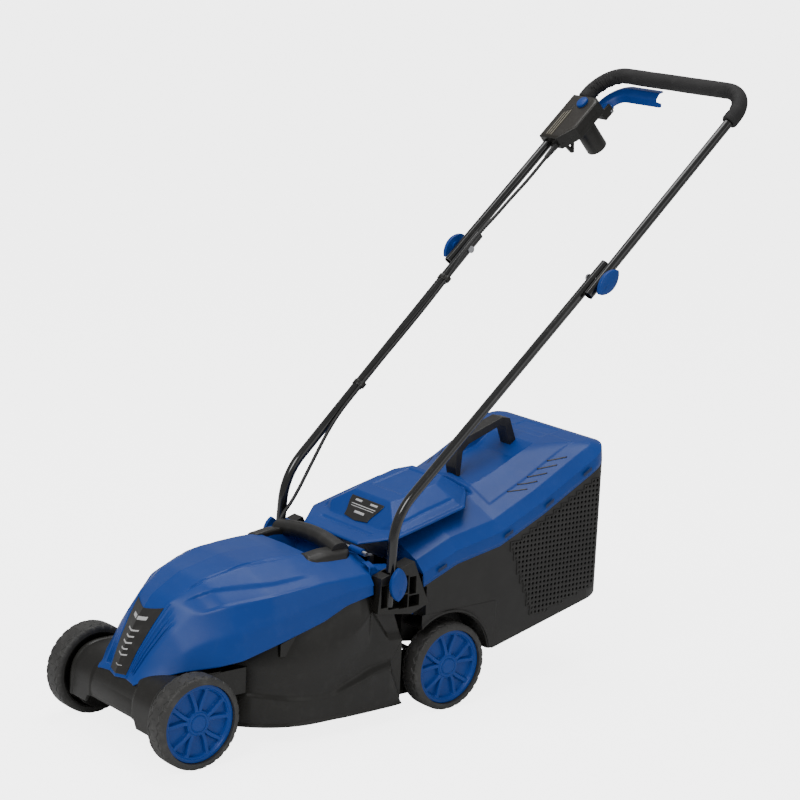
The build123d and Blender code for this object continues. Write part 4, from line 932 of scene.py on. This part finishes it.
def make_lid():
    """The lid is its height over a plan grid whose rows end on the rounded outline, with a skirt turned down to
    the rim, five slanting slots on each flank as black sheets of painted shade, and the four catch windows
    along each edge as darker blue sheets of painted shade."""
    rows, cols = 250, 96
    turn = np.linspace(0, np.pi / 2, 46)[1:]
    y = np.concatenate([np.linspace(BOX_Y0, BOX_Y1 - BOX_CORNER, rows - 45),
                        BOX_Y1 - BOX_CORNER + BOX_CORNER * np.sin(turn)])[:, None]
    share = np.linspace(0, 1, cols)[None, :]
    share = 1 - (1 - share) ** 1.25
    x = share * plan_half(y)
    y = y + 0 * x
    half = np.stack([x, y, lid_height(x, y)], axis=-1)
    rim = np.interp(y[:, -1], RIM[:, 0], RIM[:, 1])
    skirt = half[:, -1:].copy()
    skirt[:, 0, 2] = rim
    half = np.concatenate([half, skirt], axis=1)
    whole = mirror_half(half)
    last = whole[-1:].copy()
    last[..., 2] = np.minimum(last[..., 2], np.interp(BOX_Y1, RIM[:, 0], RIM[:, 1]))
    front = whole[:1].copy()
    front[..., 2] = np.minimum(front[..., 2], 0.258)
    front[:, [0, -1], 2] = RIM[0, 1]
    shell_piece("lid_skin", np.concatenate([front, whole, last]), 0.0025, BLUE, "grass_box",
                28,
                ["grass_box_lid"])
    for name, side in SIDES:
        # Each slot is a thin black sheet laid on the lid: painted shade for the opening.
        for k in range(5):
            middle = np.array([0.1245, 0.455 + 0.0235 * k])
            s = np.linspace(-1, 1, 14)[:, None]
            w = np.linspace(-1, 1, 5)[None, :]
            sx = middle[0] + 0.0100 * s + 0.0009 * w
            sy = middle[1] + 0.0155 * s - 0.0007 * w
            slot = np.stack([side * sx, sy, lid_height(sx, sy) + 0.0003], axis=-1)
            shell_piece(f"lid_slot_{name}_{k + 1}", slot, 0.0004, BLACK, "grass_box", 40)
        # Each catch window is a thin darker-blue sheet on the skirt: painted shade for the opening.
        for k, middle in enumerate((0.246, 0.399, 0.495, 0.585)):
            s = np.linspace(-1, 1, 8)[:, None]
            h = np.linspace(0.010, 0.0165, 4)[None, :]
            sy = middle + 0.0095 * s + 0 * h
            z = np.interp(sy, RIM[:, 0], RIM[:, 1]) + h
            window = np.stack([side * (BOX_HALF + 0.0026) + 0 * sy, sy, z], axis=-1)
            shell_piece(f"lid_window_{name}_{k + 1}", window, 0.0004, WINDOW_SHADE_BLUE, "grass_box",
                        40)


def make_mesh_panel(name, side):
    """A sheet of square cells, each with a round hole: eight points of the square's edge and eight of the
    circle are joined by eight quads. Cells whose middle lies outside the panel's outline are left out."""
    pitch = 0.0092
    z, y = np.meshgrid(0.118 + pitch * np.arange(30), 0.392 + pitch * np.arange(30), indexing="ij")
    low = np.interp(y, [0.3745, 0.647], [0.113, 0.179])
    high = np.interp(y, RIM[:, 0], RIM[:, 1]) - 0.012
    front = np.maximum(0.470 - 0.42 * (z - 0.130), 0.405)
    kept = (y > front) & (y < 0.622) & (z > low) & (z < high)
    cells = np.stack([y[kept], z[kept]], axis=-1)
    turn = np.arange(8) * np.pi / 4
    circle = np.stack([np.cos(turn), np.sin(turn)], axis=-1) * pitch * 0.30
    square = np.stack([np.clip(np.cos(turn) * 1.5, -1, 1), np.clip(np.sin(turn) * 1.5, -1, 1)],
                      axis=-1) * pitch / 2
    flat = cells[:, None, :] + np.concatenate([square, circle])[None]
    x = np.full(flat.shape[:2], side * (BOX_HALF + 0.0012))
    points = np.concatenate([x[..., None], flat], axis=-1)
    k = np.arange(8)
    quad = np.stack([k, (k + 1) % 8, (k + 1) % 8 + 8, k + 8], axis=-1)
    if side < 0:
        quad = quad[:, ::-1]
    faces = (quad[None] + 16 * np.arange(len(cells))[:, None, None]).reshape(-1, 4)
    piece = new_piece(name, points, faces, PANEL, "grass_box", 30)
    wall = piece.modifiers.new("wall", "SOLIDIFY")
    wall.thickness = 0.0007
    wall.offset = -1
    # Behind the holes lies a near-black sheet: painted shade for the box's inside seen through them.
    v, w = np.meshgrid(np.linspace(0, 1, 24), np.linspace(0, 1, 30), indexing="ij")
    row = 0.125 + v * 0.155
    start = np.maximum(0.474 - 0.42 * (row - 0.130), 0.409)
    back_y = start + w * (0.616 - start)
    back_z = np.interp(back_y, [0.3745, 0.647], [0.117, 0.183])
    top = np.interp(back_y, RIM[:, 0], RIM[:, 1]) - 0.017
    backing = np.stack([side * (BOX_HALF + 0.0003) + 0 * w, back_y, back_z + (top - back_z) * v], axis=-1)
    shell_piece(f"{name}_painted_shade", backing, 0.0002, SHADE, "grass_box")


def make_arch(name, side):
    """The arch over a rear wheel: an arc about the axle carried inwards, its outer edge turned down as a rib,
    and a flat web outside it that runs from the arc up to the box's wall."""
    turn = np.radians(np.linspace(9, 128, 80))[:, None]
    across = np.linspace(0, 1, 40)[None, :]
    radius = 0.0985 + 0.0035 * (1 - step(0.0, 0.06, across))
    arc = np.stack([side * (0.1695 - 0.055 * across) + 0 * turn, AXLE_Y + radius * np.cos(turn),
                    WHEEL_R + radius * np.sin(turn)], axis=-1)
    shell_piece(f"{name}_roof", arc, 0.002, BLACK, "grass_box", 40, flip=True)
    share = np.linspace(0, 1, 30)[None, :]
    edge = np.where(turn < np.pi / 2, 0.1120, 0.0608) / np.maximum(np.abs(np.cos(turn)), 0.01)
    reach = np.clip(np.minimum(edge, 0.1035 / np.maximum(np.sin(turn), 0.01)), 0.0990, 0.1520)
    r = 0.0985 + (reach - 0.0985) * share
    swell = 0.0026 * bump(r, 0.1010, 0.0015, 0.0020)
    web = np.stack([side * (0.1685 + swell), AXLE_Y + r * np.cos(turn), WHEEL_R + r * np.sin(turn)],
                   axis=-1)
    shell_piece(f"{name}_web", web, 0.002, PANEL, "grass_box", 40)


def make_box():
    """The perforated side panels, a near-black sheet behind their holes that is painted shade for the box's
    inside, and the arches over the rear wheels.
    """
    for name, side in SIDES:
        make_mesh_panel(f"box_mesh_{name}", side)
        make_arch(f"box_arch_{name}", side)


def make_shelves():
    """The cover's rear shoulders beside the flap: two steps down towards the box and a side that drops to the
    chute, a height over y with its outer edge turned down."""
    for name, side in SIDES:
        y = np.linspace(0.0985, 0.2035, 120)[:, None]
        v = np.linspace(0, 1, 60)[None, :]
        top = np.interp(y, [0.0985, 0.112, 0.118, 0.150, 0.156, 0.2035],
                        [0.288, 0.288, 0.281, 0.277, 0.270, 0.262])
        outer = np.interp(y, [0.0985, 0.106, 0.2035], [0.150, 0.1465, 0.1465])
        x = 0.1275 + (outer - 0.1275) * np.clip(v / 0.45, 0, 1)
        fall = np.clip((v - 0.45) / 0.55, 0, 1)
        z = top - 0.006 * np.clip(v / 0.45, 0, 1) ** 2 - fall * 0.075
        grid = np.stack([side * x, y + 0 * v, z], axis=-1)
        shell_piece(f"cover_shelf_{name}", smooth_rows(smooth_rows(grid, 0.8, 0), 0.8, 1), 0.0025, BLUE,
                    "chassis",
                    40)


# ------------------------------------------------------------------ knobs
def make_knob(name, body, y, z, x0, side, tilt, node_name):
    """A wing knob: its outline is x = a cos t, y = b |sin t| to the power 1.5, so that both ends come to a soft
    point; its face is a low dome with a small dimple, and its flank tapers to a round boss."""
    turns = 96
    t = np.linspace(0, 2 * np.pi, turns, endpoint=False)[:, None]
    long_way = 0.030 * np.sign(np.cos(t)) * np.abs(np.cos(t)) ** 1.0
    wide_way = 0.0175 * np.sign(np.sin(t)) * np.abs(np.sin(t)) ** 1.5
    share = np.array([0.01, 0.2, 0.4, 0.6, 0.75, 0.86, 0.93, 0.97, 1.0, 1.0, 0.985, 0.96, 0.42, 0.30, 0.30,
                      0.01])
    height = np.array([16, 15.9, 15.6, 15.1, 14.6, 14.0, 13.4, 12.8, 11.6, 8.0, 6.2, 5.2, 4.6, 4.0, 0.0,
                       0.0]) / 1000
    a = long_way * share
    b = wide_way * share
    ring = np.arange(len(share)) >= 12
    boss = 0.009 * share / 0.30
    a = np.where(ring, boss * np.cos(t), a)
    b = np.where(ring, boss * np.sin(t), b)
    h = height[None, :] + 0 * a
    dent = np.clip(1 - np.hypot(a + 0.011, b) / 0.0034, 0, 1)
    h = h - 0.0022 * step(0.0, 0.8, dent) * (np.arange(len(share)) < 8)
    along = (math.cos(tilt), math.sin(tilt))
    across = (-math.sin(tilt), math.cos(tilt))
    points = np.stack([side * (x0 + h), y + a * along[0] + b * across[0], z + a * along[1] + b * across[1]],
                      axis=-1)
    faces = [tuple(q) for q in grid_faces(turns, len(share), wrap_rows=True)]
    count = turns * len(share)
    faces += [tuple(range(0, count, len(share))), tuple(range(len(share) - 1, count, len(share)))]
    new_piece(name, points, faces, BLUE, body, 40, [node_name])


def make_knobs():
    """The four wing knobs: upright at the foot of the bar, and along the bar at its folding joint."""
    for name, side in SIDES:
        make_knob(f"knob_low_{name}", f"knob_lower_{name}", 0.133, 0.257, 0.1775, side, math.pi / 2,
                  f"wing_knob_lower_{name}")
        make_knob(f"knob_high_{name}", f"knob_upper_{name}", JOINT_Y, JOINT_Z, 0.2035, side, BAR_SLOPE,
                  f"wing_knob_upper_{name}")


# ------------------------------------------------------------------ switch box, lever and lead
def bar_grid(x, t, n):
    """bar_point for whole arrays."""
    x, t, n = np.broadcast_arrays(x, t, n)
    return np.stack([x, JOINT_Y + t * math.cos(BAR_SLOPE) - n * math.sin(BAR_SLOPE),
                     JOINT_Z + t * math.sin(BAR_SLOPE) + n * math.cos(BAR_SLOPE)], axis=-1)


def rounded_outline(corners, radius, count):
    """A closed outline with each corner cut by a quadratic arc of that reach, resampled to count points."""
    corners = np.array(corners, float)
    before = np.roll(corners, 1, axis=0) - corners
    after = np.roll(corners, -1, axis=0) - corners
    start = corners + before / np.linalg.norm(before, axis=1, keepdims=True) * radius
    stop = corners + after / np.linalg.norm(after, axis=1, keepdims=True) * radius
    s = np.linspace(0, 1, 9)[None, :, None]
    arcs = (1 - s) ** 2 * start[:, None] + 2 * s * (1 - s) * corners[:, None] + s ** 2 * stop[:, None]
    line = arcs.reshape(-1, 2)
    line = np.concatenate([line, line[:1]])
    run = np.concatenate([[0], np.cumsum(np.linalg.norm(np.diff(line, axis=0), axis=1))])
    at = np.linspace(0, run[-1], count, endpoint=False)
    return np.stack([np.interp(at, run, line[:, k]) for k in range(2)], axis=-1)


def lid_plate(name, outline, n_foot, n_top, round_edge, material, body, swell=0.0, replaced=()):
    """A plate over an outline in the bar's plane: rings shrink towards the middle, the outer ones following a
    quarter circle for the rounded edge; the middle may swell by a parabola."""
    middle = outline.mean(axis=0)
    reach = np.linalg.norm(outline - middle, axis=1).min()
    arc = np.linspace(0, np.pi / 2, 7)
    shrink = 1 - (1 - np.cos(arc)) * round_edge / reach
    height = n_top - round_edge * (1 - np.sin(arc))
    rings = [(1.0, n_foot)] + list(zip(shrink, height))
    rings += [(s * shrink[-1], n_top + swell * (1 - s ** 2)) for s in (0.9, 0.75, 0.5, 0.25, 0.02)]
    grid = np.stack([bar_grid(middle[0] + (outline[:, 0] - middle[0]) * s,
                              middle[1] + (outline[:, 1] - middle[1]) * s, n)
                     for s, n in rings])
    count = len(outline)
    faces = [tuple(q) for q in grid_faces(len(rings), count, wrap_cols=True)]
    faces += [tuple(range(count)), tuple(range((len(rings) - 1) * count, len(rings) * count))]
    return new_piece(name, grid, faces, material, body, 40, replaced)


def make_switch():
    """The switch box's brown lid with its three long ridges, their pale tops a painted highlight, and its screw
    seat, and its button.
    """
    corners = [(-0.2082, 0.2842), (-0.1600, 0.2842), (-0.1336, 0.3180), (-0.1336, 0.3905),
               (-0.1440, 0.3998),
               (-0.2082, 0.3998)]
    lid_plate("switch_lid", rounded_outline(corners, 0.006, 160), 0.0095, 0.0186, 0.0042, SWITCH,
              "upper_handle")
    # The ridges' pale finish is a painted highlight along their tops.
    for k in range(3):
        x = -0.1905 + 0.0058 * k
        ridge = [(x - 0.0011, 0.290), (x + 0.0011, 0.290), (x + 0.0011, 0.352 + 0.004 * k),
                 (x - 0.0011, 0.352 + 0.004 * k)]
        lid_plate(f"switch_ridge_{k + 1}", rounded_outline(ridge, 0.0010, 60), 0.0180, 0.0202, 0.0008,
                  SWITCH_RIDGE_HIGHLIGHT,
                  "upper_handle")
    turn = np.linspace(0, 2 * np.pi, 64, endpoint=False)
    seat = np.stack([-0.1865 + 0.0085 * np.cos(turn), 0.3665 + 0.0085 * np.sin(turn)], axis=-1)
    lid_plate("switch_screw_seat", seat, 0.0180, 0.0192, 0.0006, SWITCH, "upper_handle")
    # The screw hole is a black disc: painted shade for its depth.
    screw = np.stack([-0.1865 + 0.0022 * np.cos(turn), 0.3665 + 0.0022 * np.sin(turn)], axis=-1)
    lid_plate("switch_screw_hole", screw, 0.0190, 0.0194, 0.0001, BLACK, "upper_handle")
    button = np.stack([-0.165 + 0.0112 * np.cos(turn), 0.3805 + 0.0128 * np.sin(turn)], axis=-1)
    lid_plate("button_cap", button, 0.0187, 0.0242, 0.0022, BLUE, "button", 0.0012,
              ["lock_button"])


def make_lever():
    """The bail: a bent channel that follows the bar's far corner. Its section is carried along the middle line
    of the bar, offset inwards by a and down by b; at its free end only the lower lip runs on, as a tab."""
    corners = [(-UPPER_X, 0.404, 0), (-UPPER_X, BAR_LEN, 0), (-0.040, BAR_LEN, 0)]
    path = rounded_path(corners, [BAR_BEND], 0.0016)
    run = np.concatenate([[0], np.cumsum(np.linalg.norm(np.diff(path, axis=0), axis=1))])
    v = np.linspace(0, 1, 40)
    a = smooth_rows(np.interp(v, [0, 0.30, 0.62, 1.0], [-0.002, 0.010, 0.024, 0.034]), 2.0, 0)
    b = smooth_rows(np.interp(v, [0, 0.30, 0.62, 1.0], [-0.0300, -0.0235, -0.0270, -0.0385]), 2.0, 0)
    s = np.linspace(0, 1, 150)[:, None]
    end = run[-1] - 0.014 + 0.014 * step(0.74, 0.80, v)
    end = end - 0.004 * np.clip((v - 0.94) / 0.06, 0, 1) ** 2 - 0.003 * np.clip((0.06 - v) / 0.06, 0,
                                                                                1) ** 2
    start = 0.004 + 0.010 * np.clip((0.5 - v) / 0.5, 0, 1) ** 2
    at = start + (end - start) * s
    x = np.interp(at, run, path[:, 0])
    t = np.interp(at, run, path[:, 1])
    tx = np.gradient(path[:, 0], run)
    tt = np.gradient(path[:, 1], run)
    inward_x = np.interp(at, run, tt)
    inward_t = np.interp(at, run, -tx)
    grid = bar_grid(x + inward_x * a, t + inward_t * a, b + 0 * x)
    shell_piece("bail_channel", grid, 0.0026, BLUE, "bail", 40, ["bail_lever"])
    arm = rounded_outline([(-0.169, 0.402), (-0.143, 0.402), (-0.143, 0.424), (-0.169, 0.424)], 0.004, 60)
    lid_plate("bail_root", arm, -0.0315, -0.0235, 0.002, BLUE, "bail")


LEAD_ON_BAR = [(-172, 250, -3), (-173.5, 195, -6), (-170, 140, 0), (-163, 85, 6), (-158.5, 45, 12),
               (-158.5, -10, 13),
               (-159, -52, 5), (-159.4, -78, 1), (-156.6, -180, -1), (-152.4, -330, 2), (-151.6, -362, 1)]
LEAD_BELOW = [(-148, 238, 464), (-144, 190, 393), (-141, 148, 328), (-138.6, 114, 296), (-138, 108, 262)]


def make_lead():
    """The mains lead, clipped to the bar: a quadratic spline whose control points are the lead's route. It runs
    on across the joint between the bar's two halves."""
    route = [bar_point(*(np.array(p) / 1000)) for p in LEAD_ON_BAR]
    route += [tuple(np.array(p) / 1000) for p in LEAD_BELOW]
    curve = bpy.data.curves.new("lead_line", "CURVE")
    curve.dimensions = "3D"
    curve.bevel_depth = 0.0033
    curve.bevel_resolution = 6
    curve.use_fill_caps = True
    curve.resolution_u = 16
    spline = curve.splines.new("NURBS")
    spline.points.add(len(route) - 1)
    for point, place in zip(spline.points, route):
        point.co = (*place, 1.0)
    spline.order_u = 3
    spline.use_endpoint_u = True
    drawn = bpy.data.objects.new("lead_line", curve)
    bpy.context.scene.collection.objects.link(drawn)
    bpy.context.view_layer.update()
    data = bpy.data.meshes.new_from_object(drawn.evaluated_get(bpy.context.evaluated_depsgraph_get()))
    bpy.data.objects.remove(drawn)
    data.name = "mains_lead"
    data.materials.clear()
    data.materials.append(LEAD)
    data.polygons.foreach_set("use_smooth", np.ones(len(data.polygons), bool))
    lead = bpy.data.objects.new("mains_lead", data)
    bpy.context.scene.collection.objects.link(lead)
    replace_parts(lead, "lead_upper", "lead_joint", "lead_lower")
    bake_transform(lead)


# ------------------------------------------------------------------ pieces kept from the CAD
FINISH_OF = {"blue_plastic": BLUE, "black_plastic": BLACK, "black_tube": TUBE, "foam": FOAM, "tyre": TYRE,
             "steel": STEEL, "blade_steel": BLADE, "copper_core": CORE, "label": FILM, "lead": LEAD,
             "brass": BRASS}
FINISH_AT = {"grass_box_base": PANEL, "switch_box_base": BLACK, "switch_box_cover": BLACK,
             "carry_handle": GRIP, "grass_box_handle": GRIP}
EDGE_ROUND = {"black_plastic": 0.0009, "blue_plastic": 0.0009, "steel": 0.0004}


def dress_kept_nodes():
    """Give each CAD node its slot's finish, and a small round on its edges where no piece replaces it."""
    for part in frame["record"]["subparts"]:
        kept = frame["nodes"][part["node"]]
        kept.data.materials.clear()
        kept.data.materials.append(FINISH_AT.get(part["node"], FINISH_OF[part["material_slot"]]))
        width = EDGE_ROUND.get(part["material_slot"])
        if width and not kept.hide_render:
            kept.modifiers.new("weld", "WELD").merge_threshold = 0.00002
            bevel = kept.modifiers.new("round", "BEVEL")
            bevel.width = width
            bevel.segments = 2
            bevel.limit_method = "ANGLE"
            bevel.angle_limit = math.radians(40)


# ------------------------------------------------------------------ build
make_camera()
make_stage()
make_wheels()
make_push_bar()
make_cover()
make_deck()
make_carrier()
make_carry_handle()
make_flap()
make_lid()
make_box()
make_shelves()
make_knobs()
make_switch()
make_lever()
make_lead()
dress_kept_nodes()
